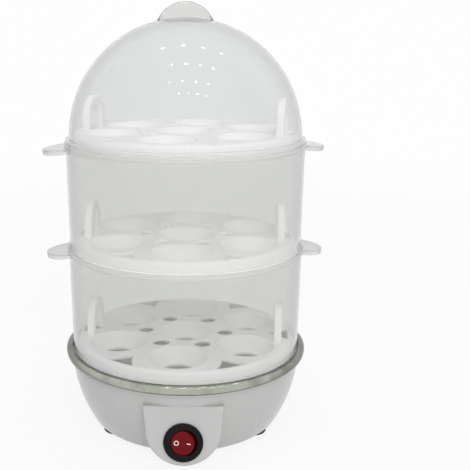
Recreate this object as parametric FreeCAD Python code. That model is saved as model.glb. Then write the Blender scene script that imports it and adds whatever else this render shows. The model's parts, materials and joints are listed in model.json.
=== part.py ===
import FreeCAD, Part
import math
import os

from FreeCAD import Placement, Rotation, Vector

# Three-storey electric egg boiler, in millimetres, +Z up.
# The origin lies on the vertical axis of the bowl, on the surface that the feet stand on.
# The switch panel faces -Y. A turn is an angle about +Z, counted from the front, positive towards +X.

# Bowl of the base
foot_height = 2.0
bowl_height = 44.4
bowl_top_reach = 0.4
bowl_foot_width = 3.0
bowl_middle_inset = 3.8
bowl_low_inset = 12.7
bowl_low_share = 0.055
bowl_wall = 2.2
shoulder_reach = 1.9
shoulder_thickness = 1.4
seat_wall_height = 4.4
seat_wall_thickness = 2.1
seat_clearance = 0.2
shelf_width = 6.2
shelf_thickness = 1.6

# Bright ring round the top of the bowl
ring_width = 4.2
ring_height = 5.7
ring_clearance = 0.1
ring_outer_round = 2.4
ring_inner_round = 0.6

# Switch panel, leaning back, on the front of the bowl
panel_reach = 2.3
panel_switch_height = 17.6
panel_lean = 7.0
panel_half_width = 22.0
panel_top_half_width = 23.4
panel_round_centre = 7.5
panel_top = 21.3
panel_depth = 24.0
panel_edge_round = 1.3
panel_wall = 2.4

# Steam pan that is heated from below
pan_sheet = 0.8
pan_taper = 4.4
pan_mouth_clearance = 1.4
pan_depth = 12.6
pan_corner = 3.0
pan_lip_clearance = 0.4
seal_thickness = 1.0
seal_width = 4.8
pan_screw_count = 3
pan_screw_inset = 3.0
pan_screw_radius = 1.2
pan_screw_head_radius = 2.3
pan_screw_head_height = 0.9
pan_screw_length = 9.0
pan_boss_radius = 3.0
pan_boss_height = 8.0

# Tubular heater under the pan
heater_inset = 18.2
heater_tube_radius = 3.25
heater_gap_turn = 35.0
heater_bend = 6.0
heater_leg = 5.0
heater_gap = 0.05
blade_width = 6.3
blade_thickness = 0.8
blade_length = 6.0
clamp_turn_shares = (-1.0, 0.0, 1.0)
clamp_width = 10.0
clamp_sheet = 1.0
clamp_foot = 7.0
clamp_clearance = 0.3
stud_radius = 1.5
stud_end = 1.0
nut_radius = 3.1
nut_height = 2.2
nut_sides = 6

# Snap thermostat at the middle of the pan, and the thermal fuse beside it
stat_cap_radius = 8.0
stat_cap_height = 4.0
stat_body_radius = 7.2
stat_body_height = 8.0
stat_body_step = 1.6
stat_pin_spread = 4.5
stat_pin_length = 6.0
stat_ear_reach = 12.5
stat_ear_width = 6.0
fuse_radius = 2.1
fuse_length = 11.0
fuse_offset = 22.0
fuse_clip_sheet = 0.6
fuse_clip_width = 5.0
fuse_clip_foot = 7.0

# Bottom cover, its screws and the feet
cover_thickness = 2.0
cover_clearance = 0.3
cover_screw_inset = 11.0
cover_screw_turns = (-150.0, -30.0, 30.0, 150.0)
cover_screw_radius = 1.3
cover_screw_head_radius = 2.8
cover_screw_head_height = 1.2
cover_screw_length = 8.0
cross_length = 3.4
cross_width = 0.7
cross_depth = 0.7
boss_radius = 3.6
boss_height = 10.0
boss_web = 2.0
vent_count = 10
vent_circle = 30.0
vent_length = 14.0
vent_width = 2.4
foot_radius = 9.0
foot_inset = 8.0
foot_turns = (-120.0, -60.0, 60.0, 120.0)
foot_peg_radius = 2.5
foot_peg_length = 1.7
foot_round = 0.7
peg_clearance = 0.1

# Lead inlet at the back
inlet_height = 14.0
inlet_boss_radius = 8.5
inlet_boss_reach = 0.1
inlet_flange_radius = 6.8
inlet_flange_thickness = 1.8
inlet_neck_radius = 4.9
inlet_neck_length = 9.4
inlet_bore_radius = 3.2
inlet_clearance = 0.1
inlet_lip_length = 1.4
inlet_lip_radius = 5.8

# Terminal block on the bottom cover
block_width = 24.0
block_depth = 14.0
block_height = 10.0
block_place = 28.0
block_screw_radius = 1.7
block_screw_depth = 4.0
block_screw_spread = 6.0

# Round rocker switch
bezel_radius = 11.5
bezel_thickness = 1.9
bezel_round = 0.8
switch_body_radius = 9.9
switch_hole_clearance = 0.1
switch_body_depth = 17.0
switch_floor = 3.0
switch_mouth_radius = 7.3
latch_radius = 10.6
latch_width = 5.0
latch_length = 3.0
switch_blade_spread = 5.5
switch_blade_width = 4.8
switch_blade_length = 7.0
rocker_radius = 7.1
rocker_pivot = 0.2
rocker_ridge = 1.2
rocker_half_travel = 11.0
rocker_wall = 1.5
rocker_skirt = 3.0
pivot_radius = 0.8
pivot_clearance = 0.06
pivot_reach = 8.2
pivot_hole_reach = 8.6
lamp_radius = 1.8
lamp_length = 6.4
lamp_round = 1.2
lamp_gap = 1.4
lamp_stem_share = 0.6

# Wires between the electrical pieces
wire_radius = 1.1
wire_bend = 3.0
wire_gap = 0.2
wire_low_height = 8.5

# Egg tray
storey_pitch = 64.72
tray_gap = 0.05
tray_wall = 1.5
tray_margin = 5.2
tray_shoulder = 2.6
tray_skirt_height = 6.0
tray_skirt_draft = 0.6
tray_flange_width = 2.9
tray_flange_thickness = 1.2
egg_pitch = 45.5
egg_dish_radius = 17.6
egg_dish_depth = 8.0
egg_hole_radius = 8.7
dish_edge_round = 0.9
steam_hole_radius = 5.1
steam_hole_inset = 0.67
rim_opening_margin = 2.3
rim_opening_depth = 13.4
rim_opening_half_turn = 8.8
rim_opening_hollow = 0.9
rim_opening_round = 0.9
outer_egg_count = 6
loop_inset = 9.3
loop_thickness = 4.6
loop_height = 20.5
loop_foot_half_width = 16.2
loop_crown_half_width = 13.0
loop_corner = 13.0
loop_leg = 6.4
loop_crown = 6.6
loop_crown_leg = 5.3
loop_slot_corner = 7.0
loop_round = 1.0
tray_turns = (-4.9, -2.7, -12.0)
tray_names = ("tray_lower", "tray_middle", "tray_upper")

# Clear storey wall with two ears
tier_wall = 1.5
tier_foot_clearance = 1.7
tier_draft = 0.8
tier_rim_reach = 1.1
tier_rim_thickness = 3.2
tier_rim_round = 0.9
tier_ledge_width = 1.5
tier_rebate_clearance = 0.55
stack_gap = 0.1
ear_radius = 15.0
ear_inset = 0.9
ear_thickness = 3.2
ear_skin = 1.4
ear_droop = 6.0
ear_drop = 8.7
ear_round = 0.5
tier_turns = (4.7, 8.0)
tier_names = ("tier_lower", "tier_upper")

# Domed lid with a hollow grip
lid_flange_reach = 2.1
lid_flange_thickness = 2.2
lid_clearance = 0.4
lid_wall = 1.5
lid_straight = 2.0
grip_radius = 18.0
grip_height = 9.0
grip_foot_thickness = 12.0
grip_crown_thickness = 9.4
grip_round = 2.5
grip_wall = 1.6

# One overrun serves every cut
overrun = 1.0

axis_up = Vector(0, 0, 1)
centre = Vector(0, 0, 0)
full_turn = 360.0
half_turn = 180.0
quarter_turn = 90.0
half_share = 0.5

# The trays set the radii: storeys, lid, seat, ring and bowl follow from them
tray_radius = egg_pitch + egg_dish_radius + tray_margin
tray_skirt_radius = tray_radius + tray_skirt_draft
tray_flange_radius = tray_skirt_radius + tray_flange_width
steam_hole_spread = math.radians(full_turn / outer_egg_count * half_share)
steam_hole_circle = egg_pitch * half_share / math.cos(steam_hole_spread) - steam_hole_inset
rim_opening_outer = tray_radius - rim_opening_margin
rim_opening_inner = rim_opening_outer - rim_opening_depth
loop_circle = tray_radius - loop_inset
tier_foot_radius = tray_skirt_radius + tier_foot_clearance + tier_wall
tier_top_radius = tier_foot_radius + tier_draft
tier_rim_radius = tier_top_radius + tier_rim_reach
tier_ledge_inner_radius = tray_flange_radius - tier_ledge_width
tier_rebate_radius = tray_flange_radius + tier_rebate_clearance
ear_circle = tier_top_radius - ear_inset
lid_radius = tray_skirt_radius + lid_clearance + lid_wall
lid_flange_radius = lid_radius + lid_flange_reach
lid_height = lid_radius + lid_straight
seat_wall_radius = tier_foot_radius + seat_clearance
seat_wall_inner_radius = seat_wall_radius - seat_wall_thickness
shelf_inner_radius = seat_wall_inner_radius - shelf_width
pan_mouth_radius = shelf_inner_radius - pan_mouth_clearance
pan_floor_radius = pan_mouth_radius - pan_taper
pan_screw_circle = seat_wall_inner_radius - pan_screw_inset
heater_circle = pan_floor_radius - heater_inset
ring_outer_radius = seat_wall_radius + ring_clearance + ring_width
bowl_top_radius = seat_wall_radius + bowl_top_reach
shoulder_radius = bowl_top_radius + shoulder_reach
bowl_middle_radius = bowl_top_radius - bowl_middle_inset
bowl_low_radius = bowl_top_radius - bowl_low_inset
bowl_bottom_radius = bowl_low_radius - bowl_foot_width
cover_screw_circle = bowl_bottom_radius - cover_screw_inset
foot_circle = bowl_bottom_radius - foot_inset
panel_front = bowl_top_radius + panel_reach
inlet_face = bowl_middle_radius + inlet_boss_reach

bowl_top = foot_height + bowl_height
seat_top = bowl_top + seat_wall_height
ring_top = bowl_top + ring_height
shelf_top = bowl_top + shelf_thickness
pan_lip_bottom = shelf_top + seal_thickness
pan_floor_bottom = pan_lip_bottom - pan_depth
cover_top = foot_height + cover_thickness
tray_seat_drop = tray_skirt_height + tray_flange_thickness
first_tray_height = seat_top + tray_gap + tray_seat_drop
tray_heights = tuple(first_tray_height + storey_pitch * level for level in range(len(tray_names)))


def spot(radius, turn, height=0.0):
    """Point at a radius from the axis, a turn from the front and a height."""
    angle = math.radians(turn)
    return Vector(radius * math.sin(angle), -radius * math.cos(angle), height)


def outline(start, steps):
    """Closed wire in the XZ plane: a step is a point, or a pair of points for an arc."""
    place = Vector(start[0], 0, start[1])
    first = place
    edges = []
    for step in steps:
        if isinstance(step[0], tuple):
            middle = Vector(step[0][0], 0, step[0][1])
            end = Vector(step[1][0], 0, step[1][1])
            edges.append(Part.Arc(place, middle, end).toShape())
        else:
            end = Vector(step[0], 0, step[1])
            edges.append(Part.LineSegment(place, end).toShape())
        place = end
    edges.append(Part.LineSegment(place, first).toShape())
    return Part.Wire(edges)


def turned(start, steps):
    """Solid of revolution about the vertical axis."""
    return Part.Face(outline(start, steps)).revolve(centre, axis_up, full_turn)


def pillar(radius, height, place, direction=axis_up):
    """Round bar that starts at a place and runs along a direction."""
    return Part.makeCylinder(radius, height, place, direction)


def block(width, depth, height, middle):
    """Box centred on a place in X and Y that stands on it in Z."""
    corner = Vector(middle.x - width * half_share, middle.y - depth * half_share, middle.z)
    return Part.makeBox(width, depth, height, corner)


def turn_about(shape, turn):
    """Copy of a shape turned about the vertical axis."""
    copy = shape.copy()
    copy.rotate(centre, axis_up, turn)
    return copy


def raised(shape, height):
    """Copy of a shape moved up."""
    copy = shape.copy()
    copy.translate(Vector(0, 0, height))
    return copy


def softened(shape, size, wanted):
    """Shape with the wanted edges rounded."""
    return shape.makeFillet(size, [edge for edge in shape.Edges if wanted(edge)])


def middle_of(edge):
    """Centre of an edge's box."""
    return edge.BoundBox.Center


def rounded_corner(corner, inside, size):
    """Middle and end of the quarter arc that rounds a square corner of an outline.

    inside gives the sense of the two legs: (r sense of the arc's centre, z sense of the arc's centre).
    """
    reach = size * (1 - math.cos(math.radians(quarter_turn * half_share)))
    return (corner[0] + inside[0] * reach, corner[1] + inside[1] * reach)


panel_place = Placement(
    Vector(0, -panel_front, panel_switch_height),
    Rotation(Vector(1, 0, 0), quarter_turn - panel_lean),
)


def on_panel(shape):
    """Copy of a shape moved from the panel's own frame, whose Z points out of the panel."""
    copy = shape.copy()
    copy.Placement = panel_place.multiply(copy.Placement)
    return copy


def panel_prism(inset, depth, front):
    """Shield-shaped prism in the panel's frame, drawn in by an inset, ending at a front level."""
    radius = panel_half_width - inset
    top_half = panel_top_half_width - inset
    top = panel_top - inset
    left = Vector(-radius, panel_round_centre, 0)
    right = Vector(radius, panel_round_centre, 0)
    low = Vector(0, panel_round_centre - radius, 0)
    corners = [right, Vector(top_half, top, 0), Vector(-top_half, top, 0), left]
    edges = [Part.Arc(left, low, right).toShape()]
    for begin, end in zip(corners, corners[1:]):
        edges.append(Part.LineSegment(begin, end).toShape())
    face = Part.Face(Part.Wire(edges))
    face.translate(Vector(0, 0, front - depth))
    return face.extrude(Vector(0, 0, depth))


def bowl_side(inset):
    """Arc of the bowl's side, from its top to its low point, drawn in by an inset."""
    middle = foot_height + bowl_height * half_share
    low = foot_height + bowl_height * bowl_low_share
    return (bowl_middle_radius - inset, middle), (bowl_low_radius - inset, low)


def bowl_solid():
    """Outer form of the bowl with its shoulder and the wall that the ring goes round."""
    side_middle, side_low = bowl_side(0)
    return turned(
        (0, foot_height),
        [
            (bowl_bottom_radius, foot_height),
            side_low,
            (side_middle, (bowl_top_radius, bowl_top - shoulder_thickness)),
            (shoulder_radius, bowl_top - shoulder_thickness),
            (shoulder_radius, bowl_top),
            (seat_wall_radius, bowl_top),
            (seat_wall_radius, seat_top),
            (0, seat_top),
        ],
    )


def bowl_hollow():
    """Space inside the bowl: below the shelf, through it and above it."""
    side_middle, side_low = bowl_side(bowl_wall)
    below = turned(
        (0, foot_height - overrun),
        [
            (bowl_bottom_radius - bowl_wall, foot_height - overrun),
            (bowl_bottom_radius - bowl_wall, foot_height),
            side_low,
            (side_middle, (bowl_top_radius - bowl_wall, bowl_top - shoulder_thickness)),
            (bowl_top_radius - bowl_wall, bowl_top),
            (0, bowl_top),
        ],
    )
    through = pillar(shelf_inner_radius, shelf_thickness + overrun * 2, Vector(0, 0, bowl_top - overrun))
    above = pillar(seat_wall_inner_radius, seat_top - shelf_top + overrun, Vector(0, 0, shelf_top))
    return below.multiFuse([through, above])


def cover_boss(turn):
    """Screw boss for the bottom cover, with the web that ties it to the bowl's wall."""
    boss = pillar(boss_radius, boss_height, spot(cover_screw_circle, 0, cover_top))
    web_length = bowl_top_radius - cover_screw_circle
    web = block(
        boss_web,
        web_length,
        boss_height,
        spot(cover_screw_circle + web_length * half_share, 0, cover_top),
    )
    return turn_about(boss.fuse(web), turn)


def base_shell():
    """White moulded bowl with the switch panel, the screw bosses and the lead inlet's boss."""
    solid = bowl_solid()
    front = softened(
        panel_prism(0, panel_depth, 0),
        panel_edge_round,
        lambda edge: abs(middle_of(edge).z) < panel_edge_round * half_share,
    )
    inlet = pillar(
        inlet_boss_radius,
        inlet_face - cover_screw_circle,
        Vector(0, cover_screw_circle, inlet_height),
        Vector(0, 1, 0),
    )
    hollow = bowl_hollow().fuse(on_panel(panel_prism(panel_wall, panel_depth, -panel_wall)))
    shell = solid.multiFuse([on_panel(front), inlet]).cut(hollow)
    bosses = [cover_boss(turn).common(solid) for turn in cover_screw_turns]
    for place in range(pan_screw_count):
        foot = spot(pan_screw_circle, pan_screw_turn(place), bowl_top - pan_boss_height)
        bosses.append(pillar(pan_boss_radius, pan_boss_height, foot).common(solid))
    shell = shell.multiFuse(bosses)
    switch_hole = switch_body_radius + switch_hole_clearance
    cuts = [
        on_panel(pillar(switch_hole, panel_wall * 3, Vector(0, 0, -panel_wall * 2))),
        pillar(
            inlet_neck_radius + inlet_clearance,
            inlet_face - cover_screw_circle + overrun,
            Vector(0, cover_screw_circle, inlet_height),
            Vector(0, 1, 0),
        ),
    ]
    for turn in cover_screw_turns:
        low = spot(cover_screw_circle, turn, foot_height)
        cuts.append(pillar(cover_screw_radius, cover_screw_length, low))
    for place in range(pan_screw_count):
        top = spot(pan_screw_circle, pan_screw_turn(place), shelf_top - pan_screw_length)
        cuts.append(pillar(pan_screw_radius, pan_screw_length + overrun, top))
    return shell.cut(Part.makeCompound(cuts))


def pan_screw_turn(place):
    """Turn of one of the pan's screws, the first of them at the back."""
    return half_turn + place * full_turn / pan_screw_count


def trim_ring():
    """Bright ring that stands on the bowl's shoulder round the seat wall."""
    inner = seat_wall_radius + ring_clearance
    outer_arc = rounded_corner((ring_outer_radius, ring_top), (-1, -1), ring_outer_round)
    low_arc = rounded_corner((ring_outer_radius, bowl_top), (-1, 1), ring_outer_round)
    inner_arc = rounded_corner((inner, ring_top), (1, -1), ring_inner_round)
    return turned(
        (inner, bowl_top),
        [
            (ring_outer_radius - ring_outer_round, bowl_top),
            (low_arc, (ring_outer_radius, bowl_top + ring_outer_round)),
            (ring_outer_radius, ring_top - ring_outer_round),
            (outer_arc, (ring_outer_radius - ring_outer_round, ring_top)),
            (inner + ring_inner_round, ring_top),
            (inner_arc, (inner, ring_top - ring_inner_round)),
        ],
    )


def pan_side(inset, rise):
    """Outline points of the pan's floor corner, drawn in and raised for the inside of the sheet."""
    floor = pan_floor_bottom + rise
    radius = pan_corner - rise
    corner = rounded_corner((pan_floor_radius - inset, floor), (-1, 1), radius)
    return (
        (pan_floor_radius - inset - radius, floor),
        (corner, (pan_floor_radius - inset, floor + radius)),
    )


def heating_pan():
    """Stainless pan that holds the water, with a lip on the shelf and welded studs below."""
    lip_radius = seat_wall_inner_radius - pan_lip_clearance
    low, corner = pan_side(0, 0)
    inner_low, inner_corner = pan_side(pan_sheet, pan_sheet)
    dish = turned(
        (0, pan_floor_bottom),
        [
            low,
            corner,
            (pan_mouth_radius, pan_lip_bottom),
            (lip_radius, pan_lip_bottom),
            (lip_radius, pan_lip_bottom + pan_sheet),
            (pan_mouth_radius - pan_sheet, pan_lip_bottom + pan_sheet),
            inner_corner[1],
            (inner_corner[0], inner_low),
            (0, pan_floor_bottom + pan_sheet),
        ],
    )
    holes = []
    for place in range(pan_screw_count):
        start = spot(pan_screw_circle, pan_screw_turn(place), pan_lip_bottom - overrun)
        holes.append(pillar(pan_screw_radius, pan_sheet + overrun * 2, start))
    studs = []
    for x, y, sheet in stud_places():
        length = sheet + nut_height + stud_end
        studs.append(pillar(stud_radius, length, Vector(x, y, pan_floor_bottom - length)))
    return dish.cut(Part.makeCompound(holes)).multiFuse(studs)


def clamp_turns():
    """Turns of the heater's clamps: the front one and one at each side."""
    step = (full_turn - heater_gap_turn * 2) / len(clamp_turn_shares)
    return [step * share for share in clamp_turn_shares]


def clamp_stud_reach():
    """Distance of a clamp's stud from the middle of the heater's tube."""
    return heater_tube_radius + clamp_clearance + clamp_sheet + clamp_foot * half_share


def stud_places():
    """Welded studs as x, y and the thickness that each one clamps: heater, thermostat, fuse."""
    places = []
    for turn in clamp_turns():
        for side in (-1, 1):
            point = spot(heater_circle + side * clamp_stud_reach(), turn)
            places.append((point.x, point.y, clamp_sheet))
    places.append((0, stat_ear_reach, stat_cap_height + clamp_sheet))
    places.append((0, -stat_ear_reach, stat_cap_height + clamp_sheet))
    places.append((0, fuse_offset + fuse_stud_reach(), fuse_clip_sheet))
    return places


def fuse_stud_reach():
    """Distance of the fuse clip's stud from the middle of the fuse."""
    return fuse_radius + fuse_clip_sheet + fuse_clip_foot * half_share


def pan_seal():
    """Flat silicone ring between the shelf and the pan's lip."""
    outer = seat_wall_inner_radius - pan_lip_clearance
    ring = pillar(outer, seal_thickness, Vector(0, 0, shelf_top))
    bore = pillar(outer - seal_width, seal_thickness + overrun * 2, Vector(0, 0, shelf_top - overrun))
    holes = [bore]
    for place in range(pan_screw_count):
        start = spot(pan_screw_circle, pan_screw_turn(place), shelf_top - overrun)
        holes.append(pillar(pan_screw_radius, seal_thickness + overrun * 2, start))
    return ring.cut(Part.makeCompound(holes))


def pan_screws():
    """Screws that hold the pan's lip down on the shelf."""
    screws = []
    for place in range(pan_screw_count):
        turn = pan_screw_turn(place)
        top = spot(pan_screw_circle, turn, pan_lip_bottom + pan_sheet)
        low = spot(pan_screw_circle, turn, shelf_top - pan_screw_length)
        head = pillar(pan_screw_head_radius, pan_screw_head_height, top)
        shank = pillar(pan_screw_radius, top.z - low.z, low)
        screws.append(head.fuse(shank))
    return Part.makeCompound(screws)


def heater_height():
    """Height of the middle of the heater's tube, just under the pan."""
    return pan_floor_bottom - heater_gap - heater_tube_radius


def heater_end(side):
    """Start and inward direction of the bend at one end of the heater."""
    turn = half_turn - side * heater_gap_turn
    start = spot(heater_circle, turn, heater_height())
    inward = spot(side, turn + quarter_turn)
    return start, inward


def heater_leg_top(side):
    """Top of the straight leg at one end of the heater."""
    start, inward = heater_end(side)
    return start + inward * heater_bend - axis_up * heater_bend


def heating_element():
    """Tubular heater: three quarters of a ring with both ends turned down."""
    level = heater_height()
    edges = []
    bend_share = math.sin(math.radians(quarter_turn * half_share))
    for side in (-1, 1):
        start, inward = heater_end(side)
        top = heater_leg_top(side)
        middle = start + inward * (heater_bend * bend_share) - axis_up * (heater_bend * (1 - bend_share))
        edges.append(Part.Arc(start, middle, top).toShape())
        edges.append(Part.LineSegment(top, top - axis_up * heater_leg).toShape())
    left, _ = heater_end(-1)
    right, _ = heater_end(1)
    edges.append(Part.Arc(left, spot(heater_circle, 0, level), right).toShape())
    path = Part.Wire(Part.__sortEdges__(edges))
    foot = heater_leg_top(1) - axis_up * heater_leg
    if path.OrderedVertexes[0].Point.x < 0:
        foot = heater_leg_top(-1) - axis_up * heater_leg
    section = Part.Wire(Part.makeCircle(heater_tube_radius, foot, axis_up))
    return path.makePipeShell([section], True, False)


def blade(place, width, length):
    """Flat push-on terminal that hangs down from a place."""
    return block(width, blade_thickness, length, place - axis_up * length)


def element_terminals():
    """Push-on terminals at the heater's two ends."""
    ends = [heater_leg_top(side) - axis_up * heater_leg for side in (-1, 1)]
    return Part.makeCompound([blade(end, blade_width, blade_length) for end in ends])


def element_clamps():
    """Sheet straps that press the heater against the pan."""
    inner = heater_tube_radius + clamp_clearance
    drop = heater_gap + heater_tube_radius * 2 + clamp_clearance
    straps = []
    for turn in clamp_turns():
        middle = spot(heater_circle, 0, pan_floor_bottom - drop - clamp_sheet)
        outer = block(clamp_width, (inner + clamp_sheet) * 2, drop + clamp_sheet, middle)
        room = block(clamp_width + overrun, inner * 2, drop, middle + axis_up * clamp_sheet)
        feet_width = (inner + clamp_sheet + clamp_foot) * 2
        feet_place = spot(heater_circle, 0, pan_floor_bottom - clamp_sheet)
        strap = outer.fuse(block(clamp_width, feet_width, clamp_sheet, feet_place)).cut(room)
        holes = []
        for side in (-1, 1):
            point = spot(heater_circle + side * clamp_stud_reach(), 0, pan_floor_bottom - clamp_sheet * 2)
            holes.append(pillar(stud_radius + peg_clearance, clamp_sheet * 3, point))
        straps.append(turn_about(strap.cut(Part.makeCompound(holes)), turn))
    return Part.makeCompound(straps)


def stud_nuts():
    """Hexagon nuts on the welded studs."""
    nuts = []
    step = full_turn / nut_sides
    for x, y, sheet in stud_places():
        low = Vector(x, y, pan_floor_bottom - sheet - nut_height)
        corners = [low + spot(nut_radius, step * number) for number in range(nut_sides + 1)]
        prism = Part.Face(Part.makePolygon(corners)).extrude(Vector(0, 0, nut_height))
        bore = pillar(stud_radius + peg_clearance, nut_height + overrun * 2, low - axis_up * overrun)
        nuts.append(prism.cut(bore))
    return Part.makeCompound(nuts)


def thermostat_cap():
    """Aluminium cap of the snap thermostat, flat against the pan."""
    return pillar(stat_cap_radius, stat_cap_height, Vector(0, 0, pan_floor_bottom - stat_cap_height))


def stat_body_bottom():
    """Height of the underside of the thermostat's body."""
    return pan_floor_bottom - stat_cap_height - stat_body_height


def thermostat_body():
    """Moulded body of the thermostat with a neck through the bracket and two terminals."""
    neck = pillar(
        stat_body_radius - stat_body_step - peg_clearance,
        clamp_sheet,
        Vector(0, 0, pan_floor_bottom - stat_cap_height - clamp_sheet),
    )
    body = pillar(stat_body_radius, stat_body_height - clamp_sheet, Vector(0, 0, stat_body_bottom()))
    pins = []
    for side in (-1, 1):
        low = Vector(side * stat_pin_spread, 0, stat_body_bottom() - stat_pin_length)
        pins.append(block(blade_thickness, blade_width, stat_pin_length, low))
    return body.multiFuse([neck] + pins)


def thermostat_bracket():
    """Sheet with two ears under the thermostat's cap that holds it against the pan."""
    level = pan_floor_bottom - stat_cap_height - clamp_sheet
    reach = stat_ear_reach + stat_ear_width * half_share
    ears = block(stat_ear_width, reach * 2, clamp_sheet, Vector(0, 0, level))
    disc = pillar(stat_cap_radius, clamp_sheet, Vector(0, 0, level))
    through = clamp_sheet + overrun * 2
    holes = [pillar(stat_body_radius - stat_body_step, through, Vector(0, 0, level - overrun))]
    for side in (-1, 1):
        start = Vector(0, side * stat_ear_reach, level - overrun)
        holes.append(pillar(stud_radius + peg_clearance, through, start))
    return ears.fuse(disc).cut(Part.makeCompound(holes))


def fuse_height():
    """Height of the middle of the thermal fuse, just under the pan."""
    return pan_floor_bottom - heater_gap - fuse_radius


def thermal_fuse():
    """Thermal fuse that lies across the pan behind the thermostat."""
    start = Vector(-fuse_length * half_share, fuse_offset, fuse_height())
    return pillar(fuse_radius, fuse_length, start, Vector(1, 0, 0))


def fuse_clip():
    """Sheet clip that holds the fuse against the pan, with one foot on a stud."""
    inner = fuse_radius + peg_clearance
    drop = heater_gap + fuse_radius * 2 + peg_clearance
    middle = Vector(0, fuse_offset, pan_floor_bottom - drop - fuse_clip_sheet)
    outer = block(fuse_clip_width, (inner + fuse_clip_sheet) * 2, drop + fuse_clip_sheet, middle)
    room = block(fuse_clip_width + overrun, inner * 2, drop, middle + axis_up * fuse_clip_sheet)
    foot_length = fuse_clip_foot + fuse_clip_sheet
    foot_middle = fuse_offset + inner + foot_length * half_share
    foot_place = Vector(0, foot_middle, pan_floor_bottom - fuse_clip_sheet)
    foot = block(fuse_clip_width, foot_length, fuse_clip_sheet, foot_place)
    stud = Vector(0, fuse_offset + fuse_stud_reach(), pan_floor_bottom - fuse_clip_sheet - overrun)
    hole = pillar(stud_radius + peg_clearance, fuse_clip_sheet + overrun * 2, stud)
    return outer.fuse(foot).cut(room).cut(hole)


def bottom_cover():
    """Plate that closes the bowl from below, with vents, screw holes and holes for the feet's pegs."""
    radius = bowl_bottom_radius - bowl_wall - cover_clearance
    plate = pillar(radius, cover_thickness, Vector(0, 0, foot_height))
    cuts = []
    for place in range(vent_count):
        turn = full_turn / vent_count * place
        low = spot(vent_circle, 0, foot_height - overrun)
        slot = block(vent_width, vent_length, cover_thickness + overrun * 2, low)
        cuts.append(turn_about(slot, turn))
    through = cover_thickness + overrun * 2
    for turn in cover_screw_turns:
        head = spot(cover_screw_circle, turn, foot_height)
        cuts.append(pillar(cover_screw_radius, through, head - axis_up * overrun))
        cuts.append(pillar(cover_screw_head_radius + peg_clearance, cover_screw_head_height, head))
    for turn in foot_turns:
        low = spot(foot_circle, turn, foot_height - overrun)
        cuts.append(pillar(foot_peg_radius + peg_clearance, through, low))
    return plate.cut(Part.makeCompound(cuts))


def cover_screws():
    """Screws that hold the bottom cover to the bowl's bosses, with cross slots."""
    screws = []
    for turn in cover_screw_turns:
        place = spot(cover_screw_circle, turn, foot_height)
        head = pillar(cover_screw_head_radius, cover_screw_head_height, place)
        shank = pillar(cover_screw_radius, cover_screw_length, place)
        slots = [
            block(cross_width, cross_length, cross_depth, place),
            block(cross_length, cross_width, cross_depth, place),
        ]
        screws.append(head.fuse(shank).cut(Part.makeCompound(slots)))
    return Part.makeCompound(screws)


def feet():
    """Soft feet with pegs in the bottom cover."""
    pads = []
    for turn in foot_turns:
        pad = softened(
            pillar(foot_radius, foot_height, spot(foot_circle, turn)),
            foot_round,
            lambda edge: middle_of(edge).z < foot_height * half_share and edge.Length > foot_radius * 4,
        )
        peg_start = foot_height * half_share
        peg = pillar(foot_peg_radius, foot_peg_length + peg_start, spot(foot_circle, turn, peg_start))
        pads.append(pad.fuse(peg))
    return Part.makeCompound(pads)


def cord_inlet():
    """Soft bushing in the back of the bowl that the supply lead goes through."""
    outward = Vector(0, 1, 0)
    face = Vector(0, inlet_face, inlet_height)
    flange = pillar(inlet_flange_radius, inlet_flange_thickness, face, outward)
    neck_start = inlet_face - inlet_neck_length
    neck = pillar(inlet_neck_radius, inlet_neck_length, Vector(0, neck_start, inlet_height), outward)
    lip_start = Vector(0, neck_start - inlet_lip_length, inlet_height)
    lip = Part.makeCone(inlet_neck_radius, inlet_lip_radius, inlet_lip_length, lip_start, outward)
    length = inlet_lip_length + inlet_neck_length + inlet_flange_thickness + overrun * 2
    bore = pillar(inlet_bore_radius, length, lip_start - outward * overrun, outward)
    return flange.multiFuse([neck, lip]).cut(bore)


def terminal_block():
    """Insulating block on the bottom cover with two wells for its clamping screws."""
    body = block(block_width, block_depth, block_height, Vector(0, block_place, cover_top))
    wells = []
    for side in (-1, 1):
        top = Vector(side * block_screw_spread, block_place, cover_top + block_height - block_screw_depth)
        wells.append(pillar(block_screw_radius + peg_clearance, block_screw_depth + overrun, top))
    return body.cut(Part.makeCompound(wells))


def block_screws():
    """Clamping screws in the terminal block."""
    screws = []
    for side in (-1, 1):
        start = Vector(side * block_screw_spread, block_place, cover_top + block_height - block_screw_depth)
        screws.append(pillar(block_screw_radius, block_screw_depth * half_share, start))
    return Part.makeCompound(screws)


def switch_body():
    """Black housing of the rocker switch with its bezel, latches and pivot holes."""
    bezel = softened(
        pillar(bezel_radius, bezel_thickness, centre),
        bezel_round,
        lambda edge: abs(middle_of(edge).z - bezel_thickness) < bezel_round * half_share,
    )
    body = pillar(switch_body_radius, switch_body_depth, Vector(0, 0, -switch_body_depth))
    latches = []
    for side in (-1, 1):
        reach = latch_radius - switch_body_radius + overrun
        middle = Vector(0, side * (switch_body_radius - overrun + reach * half_share), 0)
        low = -panel_wall - switch_hole_clearance - latch_length
        latches.append(block(latch_width, reach, latch_length, middle + axis_up * low))
    mouth_depth = bezel_thickness + switch_body_depth - switch_floor
    mouth = pillar(switch_mouth_radius, mouth_depth, Vector(0, 0, bezel_thickness - mouth_depth))
    pivot = pillar(
        pivot_radius + pivot_clearance,
        pivot_hole_reach * 2,
        Vector(0, -pivot_hole_reach, rocker_pivot),
        Vector(0, 1, 0),
    )
    return on_panel(bezel.multiFuse([body] + latches).cut(mouth).cut(pivot))


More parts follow.
